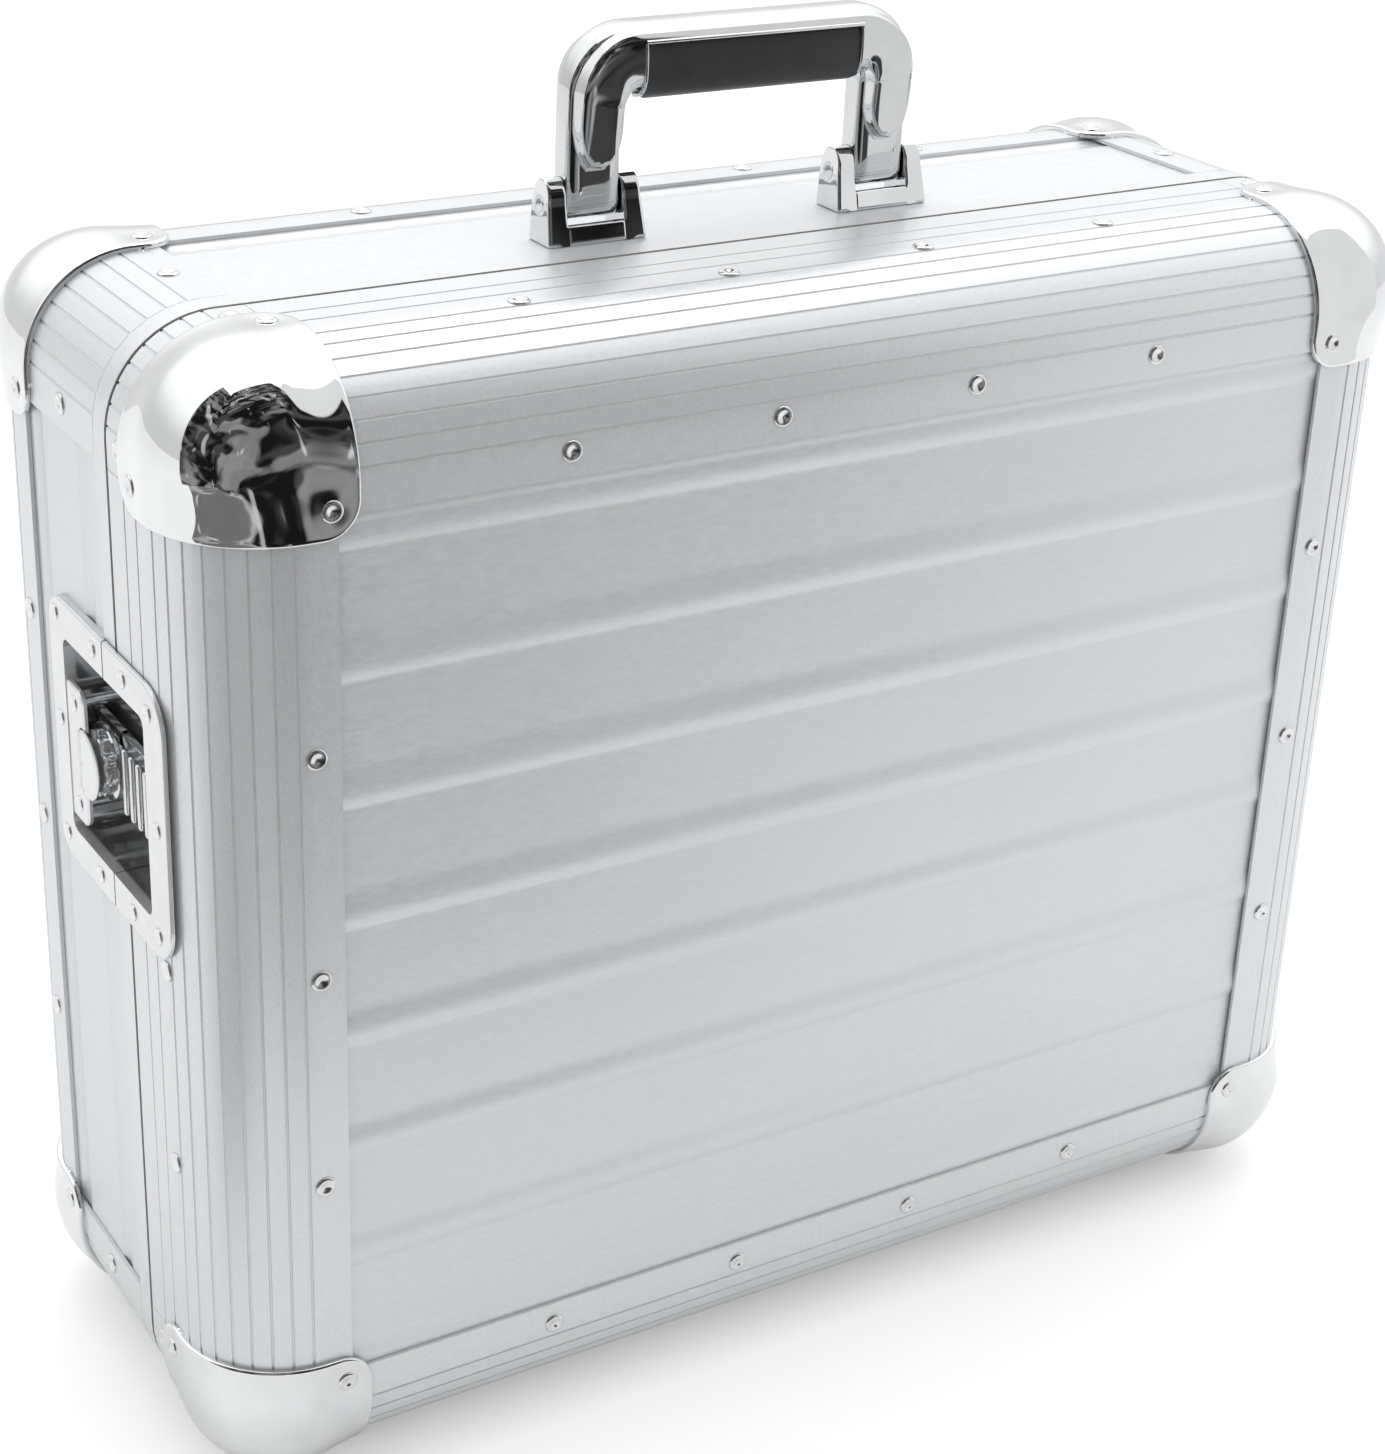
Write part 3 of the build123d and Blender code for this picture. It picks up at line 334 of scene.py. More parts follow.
for name, corner, along, across in CARDS:
    card = flat_card(name, corner, along, across)
    card.data.materials.append(room_look)
    for ray in ("camera", "diffuse", "shadow", "transmission"):
        setattr(card, "visible_" + ray, False)
print(len(CARDS), "cards that only reflections see")


# %% Lamps
def soft_lamp(name, place, aim, size, power):
    """Square soft lamp at place, turned to aim."""
    light = bpy.data.lights.new(name, "AREA")
    light.energy = power
    light.size = size
    lamp = bpy.data.objects.new(name, light)
    lamp.location = place
    lamp.rotation_euler = (Vector(aim) - Vector(place)).to_track_quat("-Z", "Y").to_euler()
    scene.collection.objects.link(lamp)
    print(name, "lamp of", power, "W and", size, "m")


soft_lamp("ceiling", place=(0.3, 0.4, 2.2), aim=(0, 0, 0.2), size=1.6, power=10)

# %% [markdown]
# ## Finishes
# Satin aluminium is metal with a fine grain: the grain is a stretched noise in the roughness and in
# a very small bump. Chrome is metal with almost no roughness, and a few faint smears.


# %% Metals
SUNK_X = (0.2570, 0.2585)
SUNK_SMOOTHER = 0.10
SUNK_BARE = 0.92


def metal(
    name, level, roughness, grain=(1, 1, 1), scale=900.0, bump=0.0, spread=0.05, cool=0.0,
    bare=1.0, sunk=False,
):
    """Metal of one grey level, with a grain that changes its roughness and its surface.

    bare is the share that mirrors like bare metal. The rest is the milky oxide layer of satin
    aluminium. A sunk finish is bare and smooth below the side walls, in the latch dishes, where no
    hand rubs it dull.
    """
    look = bpy.data.materials.new(name)
    sheet = Sheet(look)
    fine = sheet.noise(scale, 2.0, stretch=grain)
    cloud = sheet.noise(9.0, 3.0)
    dull = fine.ramp(0.3, 0.7, roughness - spread, roughness + spread)
    dull = dull + cloud.ramp(0.35, 0.65, -0.015, 0.015)
    tone = sheet.mix(fine.ramp(0.3, 0.7), grey(level * 0.97, -cool), grey(level * 1.03, -cool))
    if sunk:
        sideways = sheet.node("SeparateXYZ", None, (sheet.object_place(),))
        deep = sideways.maths("ABSOLUTE").ramp(*SUNK_X, 1.0, 0.0)
        dull = dull - deep * SUNK_SMOOTHER
        bare = deep * (SUNK_BARE - bare) + bare
    values = {"Base_Color": tone, "Metallic": bare, "Roughness": dull}
    if bump:
        values["Normal"] = sheet.bump(fine, bump)
    sheet.finish(**values)
    return look


finishes = {
    "sheet_aluminium": metal(
        "satin_sheet", 0.69, 0.42, (0.3, 1, 1), 800, bump=0.00001, cool=0.017, bare=0.58
    ),
    "profile_aluminium": metal(
        "satin_extrusion", 0.70, 0.36, scale=800, bump=0.000006, spread=0.04, cool=0.017, bare=0.60
    ),
    "chrome": metal("chrome", 0.79, 0.035, scale=60, spread=0.015, cool=0.01),
    "worn_chrome": metal("worn_chrome", 0.68, 0.05, scale=60, spread=0.02, cool=0.01),
    "latch_steel": metal(
        "bright_plate", 0.71, 0.20, scale=70, spread=0.03, cool=0.012, bare=0.66, sunk=True
    ),
    "rivet_aluminium": metal("rivet", 0.76, 0.18, scale=900, cool=0.01),
    "hinge_steel": metal("hinge_plate", 0.72, 0.35, (1, 0.1, 1), 600, bump=0.00001),
}


# %% Rubber and plastic
def matt_skin(name, level, roughness, scale, bump, warm=0.0):
    """Dark rubber, plastic or foam with a pebbled surface."""
    look = bpy.data.materials.new(name)
    sheet = Sheet(look)
    pebble = sheet.noise(scale, 2.0)
    cloud = sheet.noise(25.0, 2.0)
    tone = sheet.mix(cloud.ramp(0.3, 0.7), grey(level * 0.8, warm), grey(level * 1.25, warm))
    sheet.finish(
        Base_Color=tone,
        Roughness=pebble.ramp(0.3, 0.7, roughness - 0.08, roughness + 0.08),
        Normal=sheet.bump(pebble, bump),
    )
    return look


finishes["foot_rubber"] = matt_skin("foot_rubber", 0.02, 0.6, 900, 0.00008)
finishes["grip_plastic"] = matt_skin("grip_plastic", 0.018, 0.42, 1400, 0.0001, -0.03)
finishes["foam"] = matt_skin("foam", 0.04, 0.95, 1200, 0.0004)

slots = {}
for part in frame["record"]["subparts"]:
    slots[part["node"]] = part["material_slot"]
    skin = nodes[part["node"]].data.materials
    skin.clear()
    skin.append(finishes[part["material_slot"]])
print("finished", len(nodes), "engineering pieces")


def install(piece, body, *replaced, slot=None, finish=None):
    """Rides a new piece on its body, in place of engineering pieces if any are named.

    It takes their slot and its finish, unless others are given.
    """
    slot = slot or slots[replaced[0]]
    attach(piece, body)
    if replaced:
        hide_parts(*replaced)
    piece.data.materials.append(finishes[finish or slot])
    print(piece.name, "has", len(piece.data.polygons), "faces, in place of", replaced or "nothing")


# %% [markdown]
# ## Corner caps
# Each corner is a cap of polished steel pressed over the rounded corner of the case. It is one soft
# pillow with a rolled rim, and a small dimple at each rivet. A sphere with flat plates beside it
# would show a hard line in the mirror finish, so a rounded box is bent over three faces at once.

# %% Corner caps
CAP_REACH = 57.5
CAP_CURVE = 40.0
CAP_LOBE = 13.0
CAP_RIVET, CAP_RIVET_PROUD = 47.1, 1.85
CAP_SQUARENESS = 0.35
CAP_SWELL = 0.9
CAP_DIMPLE, CAP_DIMPLE_WIDTH = 0.35, 30
CAP_UNDERSIDE = 0.02
RIM = 1.1
CAP_STEPS = 44
RIM_TURNS = np.radians([22.5, 45, 67.5, 90])


def cap_sheets(lifted):
    """Three grids of one cap, as distances inwards from the corner of the case's box.

    On a face, ring m of the grid is a square of reach L, its outer corner rounded to 13 (L/57.5)³.
    A point P of the flat face goes to Q - r n - h g: Q is P kept at least r inside, n is
    q = (Q - P) / r over its p-norm, g is the direction of n to the power p - 1, and h is the lift.
    The lift is 3.1 over the ball and falls to 2.2 at the rim, which rolls down to the case.
    """
    reach = np.linspace(0, CAP_REACH - RIM, CAP_STEPS + 1)
    share = reach / CAP_REACH
    rolled = RIM + RIM * np.cos(RIM_TURNS)
    roll = np.concatenate([np.full_like(share, 2 * RIM), rolled, [CAP_UNDERSIDE]])
    reach = np.concatenate([reach, CAP_REACH - RIM + RIM * np.sin(RIM_TURNS), [CAP_REACH]])
    power = 2 + CAP_SQUARENESS * (1 - ease(0.55, 1.0, reach / CAP_REACH))
    if not lifted:
        power = np.full_like(power, 2.0)
    step = np.arange(len(reach))
    row, column = unfold(step, step)
    ring = np.maximum(row, column)
    size = reach[ring]
    lobe = CAP_LOBE * (size / CAP_REACH) ** 3 + 1e-9
    flat = []
    unit = size / np.maximum(ring, 1)
    for own, other in ((row, column), (column, row)):
        along = unit * own
        turn = np.clip((unit * other - size + lobe) / lobe, 0, 1)
        into = np.clip((along - size + lobe) / lobe, 0, 1)
        bend = np.where(own == ring, np.cos(turn * math.pi / 4), np.sin(into * math.pi / 4))
        flat.append(np.minimum(along, size - lobe) + lobe * bend)
    near = (flat[0] - CAP_RIVET) ** 2 + (flat[1] - CAP_RIVET) ** 2
    spread = (flat[0] ** 4 + flat[1] ** 4) ** 0.25 / CAP_REACH
    swell = CAP_SWELL * (1 - ease(0.60, 1.0, spread))
    swell = swell - CAP_DIMPLE * np.exp(-near / CAP_DIMPLE_WIDTH)
    height = np.full_like(spread, CAP_UNDERSIDE)
    if lifted:
        height = roll[ring] + swell * (ring < len(share))
    exponent = power[ring][..., None]
    sheets = []
    for axis in range(3):
        point = np.insert(np.stack(flat, -1), axis, 0.0, axis=-1)
        inner = np.maximum(point, CAP_CURVE)
        lean = (inner - point) / CAP_CURVE
        lean /= (lean**exponent).sum(-1, keepdims=True) ** (1 / exponent)
        slope = lean ** (exponent - 1)
        slope /= np.linalg.norm(slope, axis=-1, keepdims=True)
        sheets.append(inner - CAP_CURVE * lean - height[..., None] * slope)
    return sheets


def corner_caps(name, body, replaced, back):
    """Four caps at the corners of one half of the case."""
    shell = cap_sheets(True) + cap_sheets(False)
    sheets = []
    for right in (0, 1):
        for top in (0, 1):
            side = np.array([right, back, top])
            corner = np.where(side, CASE_HIGH, CASE_LOW)
            sheets += [corner + (1 - 2 * side) * sheet for sheet in shell]
    install(surface(name, sheets), body, replaced)


corner_caps("front_corner_caps", "lid", "lid_corner_caps", 0)
corner_caps("back_corner_caps", "base", "base_corner_caps", 1)

# %% [markdown]
# ## Large panels
# The front and the back are thin sheets with seven long pressed ridges. Light falls from above, so
# a ridge shows as a soft grey rise and a bright lower edge. The ridges are a profile along the
# height of the sheet, and the sheet is that profile carried from side to side.

# %% Large panels
PANEL_HALF = 221.4
PANEL_Z = (46.6, 406.4)
PANEL_FACE = 99.4
PANEL_INSIDE = 94.4
RIDGE_HEIGHT = 0.95
RIDGE_PITCH = 46.6
RIDGE_LEVELS = MIDDLE_Z + 22.3 + RIDGE_PITCH * (np.arange(7) - 3)
LIP_RISE = 0.93
LIP_LOW_Z, LIP_HIGH_Z = (59, 67), (386, 394)


def ridge_height(z):
    """Height of the ridges at level z: a quarter sine up from 7 below, cos² down to 9 above."""
    distance = z[:, None] - RIDGE_LEVELS
    below = np.sin(np.clip((distance + 7) / 5.5, 0, 1) * math.pi / 2)
    above = np.cos(np.clip((distance + 1.5) / 10.5, 0, 1) * math.pi / 2) ** 2
    return RIDGE_HEIGHT * (below * above).sum(1)


def ridged_panel(name, body, replaced, outward):
    """Closed sheet with ridges on its outer side, facing along y in the direction outward.

    The sheet also rises to meet the edge strips along its top and its bottom.
    """
    levels = np.arange(PANEL_Z[0], PANEL_Z[1] + 0.1, 0.8)
    across = np.linspace(-PANEL_HALF, PANEL_HALF, 24)
    z, x = unfold(levels, across)
    lip = np.maximum(1 - ease(*LIP_LOW_Z, z), ease(*LIP_HIGH_Z, z))
    bulge = np.maximum(ridge_height(levels)[:, None], LIP_RISE * lip)
    outside = np.stack([x, outward * (PANEL_FACE + bulge), z], -1)
    inside = np.stack([x, np.full_like(x, outward * PANEL_INSIDE), z], -1)
    install(surface(name, slab(outside, inside), 30), body, replaced)


ridged_panel("front_panel", "lid", "lid_front_panel", -1)
ridged_panel("back_panel", "base", "base_back_panel", 1)

# %% [markdown]
# ## Handle
# The handle is one chrome casting: two flat arms that swell into a round bar, with a rounded step
# on the front of each arm where the swelling starts. The bar's lower part is cut away for the dark
# grip. An outer and an inner outline are joined by oval sections, so every part of it flows.

# %% Handle frame
HANDLE_Y = (3.0, 2.0)
FOOT_Z = 457.0
FOOT_RADIUS = 6.3
ARM_OUT, ARM_IN = 73.7, 51.3
CORNER_OUT, CORNER_IN = (48.7, 496.0, 25.0), (46.6, 491.3, 4.7)
GRIP_HALF = 46.6
GRIP_TOP = 515.25
BOSS_LOW = 469.5
BOSS_END = 15.0
BOSS_SHARE = 0.84
BOSS_DEPTH = 12.4
# Growths along the handle: how much, from where, to where.
BOSS_FRONT, BOSS_BACK = (1.2, 472, 500), (5.0, 474, 512)
BAR_SWELL, SQUARE_TO_OVAL = (4.9, 492, 530), (2, 490, 520)
SQUARE_ARM = 5
ARM_TOP = 468
BEND_RUN, GRIP_RUN = 35, 37


def bent(value, power):
    """The value to a power, with its own sign."""
    return np.sign(value) * np.abs(value) ** power


def grow(amount, start, end, along):
    """0 before start, the amount after end, and smooth between."""
    return amount * ease(start, end, along)


def arm_outline():
    """Outer and inner edge of the right arm from the foot to the grip, and how far along they are.

    Each edge is a straight line up, a quarter circle, and a line to the grip.
    """
    foot = FOOT_Z - FOOT_RADIUS * np.cos(np.linspace(0, math.pi / 2, 12))
    arm = np.linspace(ARM_TOP, CORNER_IN[1], 60)[1:]
    rise = np.concatenate([foot, np.linspace(FOOT_Z, ARM_TOP, 10)[1:], arm])
    lag = ease(470, CORNER_IN[1], rise) * (CORNER_OUT[1] - CORNER_IN[1])
    turn = np.linspace(0, math.pi / 2, 30)[1:]
    edges = []
    for x, corner, extra in ((ARM_OUT, CORNER_OUT, lag), (ARM_IN, CORNER_IN, 0 * lag)):
        straight = np.stack([np.full_like(rise, x), rise + extra], -1)
        arc = corner[:2] + corner[2] * np.stack([np.cos(turn), np.sin(turn)], -1)
        end = [[GRIP_HALF, corner[1] + corner[2]]]
        edges.append(np.concatenate([straight, arc, end]))
    bend = CORNER_IN[1] + BEND_RUN * turn / turn[-1]
    run = np.concatenate([rise, bend, [CORNER_IN[1] + GRIP_RUN]])
    return edges[0], edges[1], run


def handle_frame_sheet():
    """Grid of the frame: stations along it against 128 directions round its section.

    Round the section, v = |cos|^(2/n) runs from the inner to the outer edge and the depth is
    D |sin|^(2/n). The exponent n falls from 5 on the arms to 3 on the bar. Where |v| is less than
    the width of a boss, which starts as a quarter of an oval on the arm, D is that of the boss:
    nearly flat in front, and growing slowly behind. Beside it D grows only along the bend.
    """
    outer, inner, run = arm_outline()
    middle = np.linspace(GRIP_HALF, -GRIP_HALF, 12)
    bar_out = np.stack([middle, np.full_like(middle, CORNER_OUT[1] + CORNER_OUT[2])], -1)
    bar_in = np.stack([middle, np.full_like(middle, CORNER_IN[1] + CORNER_IN[2])], -1)
    mirror = np.array([-1, 1])
    outer = np.concatenate([outer, bar_out, (outer * mirror)[::-1]])
    inner = np.concatenate([inner, bar_in, (inner * mirror)[::-1]])
    held = np.concatenate([0 * run, 0 * middle + 1, 0 * run])
    run = np.concatenate([run, 0 * middle + run[-1], run[::-1]])
    turn = np.linspace(0, 2 * math.pi, 129)
    along, around = unfold(run, turn)
    oval = SQUARE_ARM - grow(*SQUARE_TO_OVAL, along)
    v = bent(np.cos(around), 2 / oval)
    w = bent(np.sin(around), 2 / oval)
    below = np.clip((BOSS_LOW + BOSS_END - along) / BOSS_END, 0, None)
    inside = ease(0, 0.12, 1 - np.hypot(v / BOSS_SHARE, below))
    foot = np.sqrt(np.clip(FOOT_RADIUS**2 - np.clip(FOOT_Z - along, 0, None) ** 2, 0, None))
    plain = foot + grow(*BAR_SWELL, along)
    boss = [depth[0] - grow(*depth, along) for depth in (BOSS_FRONT, BOSS_BACK)]
    boss = BOSS_DEPTH - np.where(w < 0, *boss)
    depth = plain + inside * (boss - plain)
    place = inner[:, None] + (outer - inner)[:, None] * (1 + v[..., None]) / 2
    centre = HANDLE_Y[0] + (HANDLE_Y[1] - HANDLE_Y[0]) * ease(475, 510, along)
    level = np.where(held[:, None] > 0, np.maximum(place[..., 1], GRIP_TOP), place[..., 1])
    return np.stack([place[..., 0], centre + depth * w, level], -1)


handle = surface("chrome_handle", [handle_frame_sheet()], 60)
install(handle, "handle", "handle_frame", finish="worn_chrome")

# %% Handle grip
GRIP_MIDDLE = 505.8
GRIP_RISE = 12.5
GRIP_DEPTH = 11.9
GRIP_END = 5


def grip_sheet():
    """Grid of the grip: an oval |y|³ + |z|³ = 1, flat on top and rounded up at both ends."""
    half = GRIP_HALF - 0.15
    bend = np.linspace(0, math.pi / 2, 10)
    end = half - GRIP_END * (1 - np.sin(bend))
    middle = np.linspace(-end[0], end[0], 24)[1:-1]
    across = np.concatenate([[-half], -end[::-1], middle, end, [half]])
    turn = np.linspace(0, 2 * math.pi, 65)
    x, around = unfold(across, turn)
    v = bent(np.cos(around), 2 / 3)
    w = bent(np.sin(around), 2 / 3)
    beyond = np.clip(np.abs(x) - half + GRIP_END, 0, GRIP_END)
    inset = GRIP_END - np.sqrt(np.clip(GRIP_END**2 - beyond**2, 0, None))
    z = np.maximum(GRIP_MIDDLE + GRIP_RISE * v, GRIP_MIDDLE - GRIP_RISE + inset)
    closed = np.ones_like(x)
    closed[[0, -1]] = 0
    z = np.where(closed > 0, np.minimum(z, GRIP_TOP - 0.1), GRIP_MIDDLE)
    return np.stack([x, HANDLE_Y[1] + GRIP_DEPTH * w * closed, z], -1)


install(surface("dark_grip", [grip_sheet()], 40), "handle", "handle_grip")

# %% Bead round the grip
BEAD = 0.75
BEAD_MIDDLE = 507.3
BEAD_DEPTH, BEAD_RISE = 12.2, 12.7
BEAD_RAIL_Y = 12.15
BEAD_TURNS = (0.12, math.pi / 2 + 0.98)


def bead_sheet(path, outward, side):
    """Grid of a thin round bead: circles of radius 0.75 along a path, across outward and side."""
    turn = np.linspace(0, 2 * math.pi, 11)[:, None]
    return path[:, None] + BEAD * (np.cos(turn) * outward + np.sin(turn) * side)


def grip_beads():
    """Two half loops round the ends of the grip's front and back, and the rails on top of them."""
    beads = []
    x_way, y_way, z_way = np.eye(3)
    turn = np.linspace(*BEAD_TURNS, 40)
    for face in (-1, 1):
        y = HANDLE_Y[1] + face * BEAD_DEPTH * np.abs(np.sin(turn)) ** (2 / 3)
        z = BEAD_MIDDLE - BEAD_RISE * bent(np.cos(turn), 2 / 3)
        keep = z <= GRIP_TOP
        for side in (-1, 1):
            path = np.stack([np.full_like(y, side * (GRIP_HALF - 0.3)), y, z], -1)[keep]
            ahead = np.gradient(path, axis=0)
            ahead /= np.linalg.norm(ahead, axis=1, keepdims=True)
            beads.append(bead_sheet(path, np.cross(ahead, x_way)[:, None], x_way))
        rail_end = np.array([GRIP_HALF, HANDLE_Y[1] + face * BEAD_RAIL_Y, GRIP_TOP - 0.2])
        beads.append(bead_sheet(np.array([rail_end * (-1, 1, 1), rail_end]), y_way, z_way))
    return beads


install(surface("grip_bead", grip_beads()), "handle", slot="chrome", finish="worn_chrome")


# %% [markdown]
# ## Rivets
# Every rivet head is a low ring round a small bowl. The bowl mirrors the dark room on one side and
# the white floor on the other, which is why rivets look like little eyes. One profile is turned
# round an axis and set down at every rivet, with only 144 faces each.

# %% Rivets
RIVET_EDGE = 4.0
RIVET_BOWL = 2.9
RIVET_HEIGHT = 0.85
RIVET_DENT = 0.05
RIVET_INSET = 40.8
RIVET_X = (-125.0, -41.7, 41.7, 125.0)
RIVET_Z = (142.1, MIDDLE_Z, 310.9)


def rivet_sheet(place, outward, scale=1.0):
    """Grid of one head: height 0.05 + 0.8 sin²(90° r / 2.9) in the bowl, a quarter oval outside."""
    radius = np.array([0, 0.8, 1.5, 2.2, RIVET_BOWL, 3.3, 3.65, 3.9, RIVET_EDGE])
    share = np.clip(radius / RIVET_BOWL, 0, 1)
    bowl = RIVET_DENT + (RIVET_HEIGHT - RIVET_DENT) * np.sin(share * math.pi / 2) ** 2
    fall = np.clip((radius - RIVET_BOWL) / (RIVET_EDGE - RIVET_BOWL), 0, 1)
    height = np.where(radius > RIVET_BOWL, RIVET_HEIGHT * np.sqrt(1 - fall**2), bowl)
    r, around = unfold(np.append(radius, 0), np.linspace(0, 2 * math.pi, 17))
    out = np.array(outward, float)
    first = np.roll(np.abs(out), 1)
    second = np.cross(out, first)
    flat = np.cos(around)[..., None] * first + np.sin(around)[..., None] * second
    rise = np.append(height, 0)[:, None, None]
    return np.array(place) + scale * (r[..., None] * flat + rise * out)


def outline_spots(face_y, flank_y, corner_y, outward, side_levels):
    """Where the rivets of one half are, and which way each looks out."""
    spots = []
    for up in (-1, 1):
        edge_z = MIDDLE_Z + up * HALF_HEIGHT
        for x in RIVET_X:
            spots.append(((x, face_y, edge_z - up * RIVET_INSET), (0, outward, 0)))
            spots.append(((x, flank_y, edge_z), (0, 0, up)))
        for side in (-1, 1):
            spots.append(((side * (-LEFT - RIVET_INSET), corner_y, edge_z), (0, 0, up)))
            spots.append(((side * -LEFT, corner_y, edge_z - up * RIVET_INSET), (side, 0, 0)))
    for side in (-1, 1):
        spots += [((side * (-LEFT - RIVET_INSET), face_y, z), (0, outward, 0)) for z in RIVET_Z]
        spots += [((side * -LEFT, flank_y, z), (side, 0, 0)) for z in side_levels]
    return spots


def cap_spots(back):
    """Three rivets on each of the four caps of one half, one to a face."""
    spots = []
    for right in (0, 1):
        for top in (0, 1):
            side = np.array([right, back, top])
            for axis in range(3):
                inward = np.full(3, CAP_RIVET)
                inward[axis] = -CAP_RIVET_PROUD
                place = np.where(side, CASE_HIGH, CASE_LOW) + (1 - 2 * side) * inward
                spots.append((place, np.eye(3)[axis] * (2 * side[axis] - 1)))
    return spots


FRONT_FLANK_Y, FRONT_CORNER_Y = FRONT + 38.8, FRONT + 61.9
BACK_FLANK_Y, BACK_CORNER_Y = -FRONT - RIVET_INSET, FRONT + 115.9
front_spots = outline_spots(FRONT, FRONT_FLANK_Y, FRONT_CORNER_Y, -1, (RIVET_Z[0], 221.5))
back_spots = outline_spots(-FRONT, BACK_FLANK_Y, BACK_CORNER_Y, 1, RIVET_Z)
latch_front = ((-38.0, 322.5), (-61.0, 319.5), (-65.0, 277.5), (-62.0, 235.0), (-37.5, 232.5))
latch_rear = ((28.0, 322.5), (-9.5, 322.5), (28.0, 281.0), (28.0, 234.5), (-6.0, 232.5))
latch_plate = ((14.0, 252.0), (14.0, 292.0))
SMALL_RIVET = 0.8


def latch_spots(places, proud):
    """Small rivets on both side walls, this far proud of them."""
    sides = ((-1, 0, 0), (1, 0, 0))
    return [((out[0] * (proud - LEFT), y, z), out, SMALL_RIVET) for out in sides for y, z in places]


rear_latch_spots = latch_spots(latch_rear, 2.0) + latch_spots(latch_plate, 1.6)
for name, body, replaced, spots in (
    ("latch_front_rivets", "lid", "latch_lid_rivets", latch_spots(latch_front, 2.0)),
    ("latch_rear_rivets", "base", "latch_base_rivets", rear_latch_spots),
    ("front_rivets", "lid", "lid_rivets", front_spots),
    ("back_rivets", "base", "base_rivets", back_spots),
    ("front_cap_rivets", "lid", "lid_cap_rivets", cap_spots(0)),
    ("back_cap_rivets", "base", "base_cap_rivets", cap_spots(1)),
):
    install(surface(name, [rivet_sheet(*spot) for spot in spots]), body, replaced)

# %% [markdown]
# ## Painted shade between the halves
# A near-black strip in the dark rubber finish sits in the gap between the halves. It is painted
# shade for that gap, and makes the dark line round the case. It comes in two lengths, one over the
# top and one under the bottom, that end at the latch dishes. Its section, a flattened round, is
# carried along the rounded outline of the case.

# %% Painted shade in the gap
EDGE_RADIUS = 40.0
GAP_SHADE_Y = -29.0
GAP_SHADE_HALF = (1.3, 0.95)
GAP_SHADE_INSET = 1.5
GAP_SHADE_END_Z = (228.0, 327.0)
GAP_SHADE_STEPS = 19


def gap_shade_sheet(up, end_z):
    """Grid of one length: 1.3 cos t outward and 0.95 sin t along y, round a line, 0 at the ends."""
    quarter = np.linspace(0, math.pi / 2, GAP_SHADE_STEPS)
    turn = np.concatenate([quarter, quarter + math.pi / 2])
    away = np.stack([np.cos(turn), up * np.sin(turn)], -1)
    centre_x = np.repeat([1.0, -1.0], GAP_SHADE_STEPS) * (-LEFT - EDGE_RADIUS)
    centre_z = np.full_like(turn, MIDDLE_Z + up * (HALF_HEIGHT - EDGE_RADIUS))
    line = np.stack([centre_x, centre_z], -1) + (EDGE_RADIUS - GAP_SHADE_INSET) * away
    line = np.concatenate([[[line[0, 0], end_z]] * 2, line, [[line[-1, 0], end_z]] * 2])
    away = np.concatenate([away[:1], away[:1], away, away[-1:], away[-1:]])
    size = np.ones((len(line), 1))
    size[[0, -1]] = 0
    around = np.linspace(0, 2 * math.pi, 13)
    flat = line[:, None] + (size * GAP_SHADE_HALF[0] * np.cos(around))[..., None] * away[:, None]
    y = GAP_SHADE_Y + size * GAP_SHADE_HALF[1] * np.sin(around) * up
    return np.stack([flat[..., 0], y, flat[..., 1]], -1)


lengths = [gap_shade_sheet(1, GAP_SHADE_END_Z[1]), gap_shade_sheet(-1, GAP_SHADE_END_Z[0])]
# The dark strip is painted shade for the gap between the halves, in the dark rubber finish of the
# feet.
install(surface("painted_gap_shade", lengths, 60), "lid", slot="foot_rubber")

# %% [markdown]
# ## Rounded blocks and foam
# Inside, dark foam walls and two pads hold the turntable. Cut foam has soft edges and a slightly
# full face, and the pads are ridged like an egg tray. A rounded block is a plain block whose points
# are pulled towards the same block shrunk by the rounding.


# %% Rounded block
def spread_out(low, high, rounding, step):
    """Places from low to high: close on the rounded ends, and about a step apart between."""
    end = rounding * np.array([0, 0.25, 0.55])
    steps = max(1, round((high - low - 2 * rounding) / step))
    inner = np.linspace(low + rounding, high - rounding, steps + 1)
    return np.concatenate([low + end, inner, (high - end)[::-1]])


def rounded_block(low, high, rounding, step=1000.0, shape=None):
    """Six grids of a block: a point P of the plain block goes to Q + r (P - Q) / |P - Q|.

    Q is P kept at least r inside the block. shape(point, moved) may then bend the moved points.
    """
    low, high = np.array(low, float), np.array(high, float)
    lines = [spread_out(low[a], high[a], rounding, step) for a in range(3)]
    sheets = []
    for axis in range(3):
        first, second = unfold(lines[axis - 2], lines[axis - 1])
        for level in (low[axis], high[axis]):
            point = np.empty(first.shape + (3,))
            point[..., axis] = level
            point[..., axis - 2], point[..., axis - 1] = first, second
            inner = np.clip(point, low + rounding, high - rounding)
            away = point - inner
            moved = inner + rounding * away / np.linalg.norm(away, axis=-1, keepdims=True)
            sheets.append(shape(point, moved) if shape else moved)
    return sheets


# %% Foam
FOAM_ROUND = 3.0
FOAM_FULL = 1.5
PAD_ROUND = 6.0
TRAY_PITCH = 26.0
TRAY_DEPTH = 5.0
POCKET_DEPTH = 9.6
POCKET_Y = (-59.3, 23.8)
POCKET_Z = (235.5, 319.5)
POCKET_EDGE = 6
SIDE_WALL_X, SIDE_WALL_Z = (226.6, 252.2), (50.2, 402.8)
END_WALL_HALF, END_WALL_RISE = 225, (176.5, 210.7)
PAD_HALF, PAD_Z = 227.4, (45, 408)
PAD_BORDER = 14


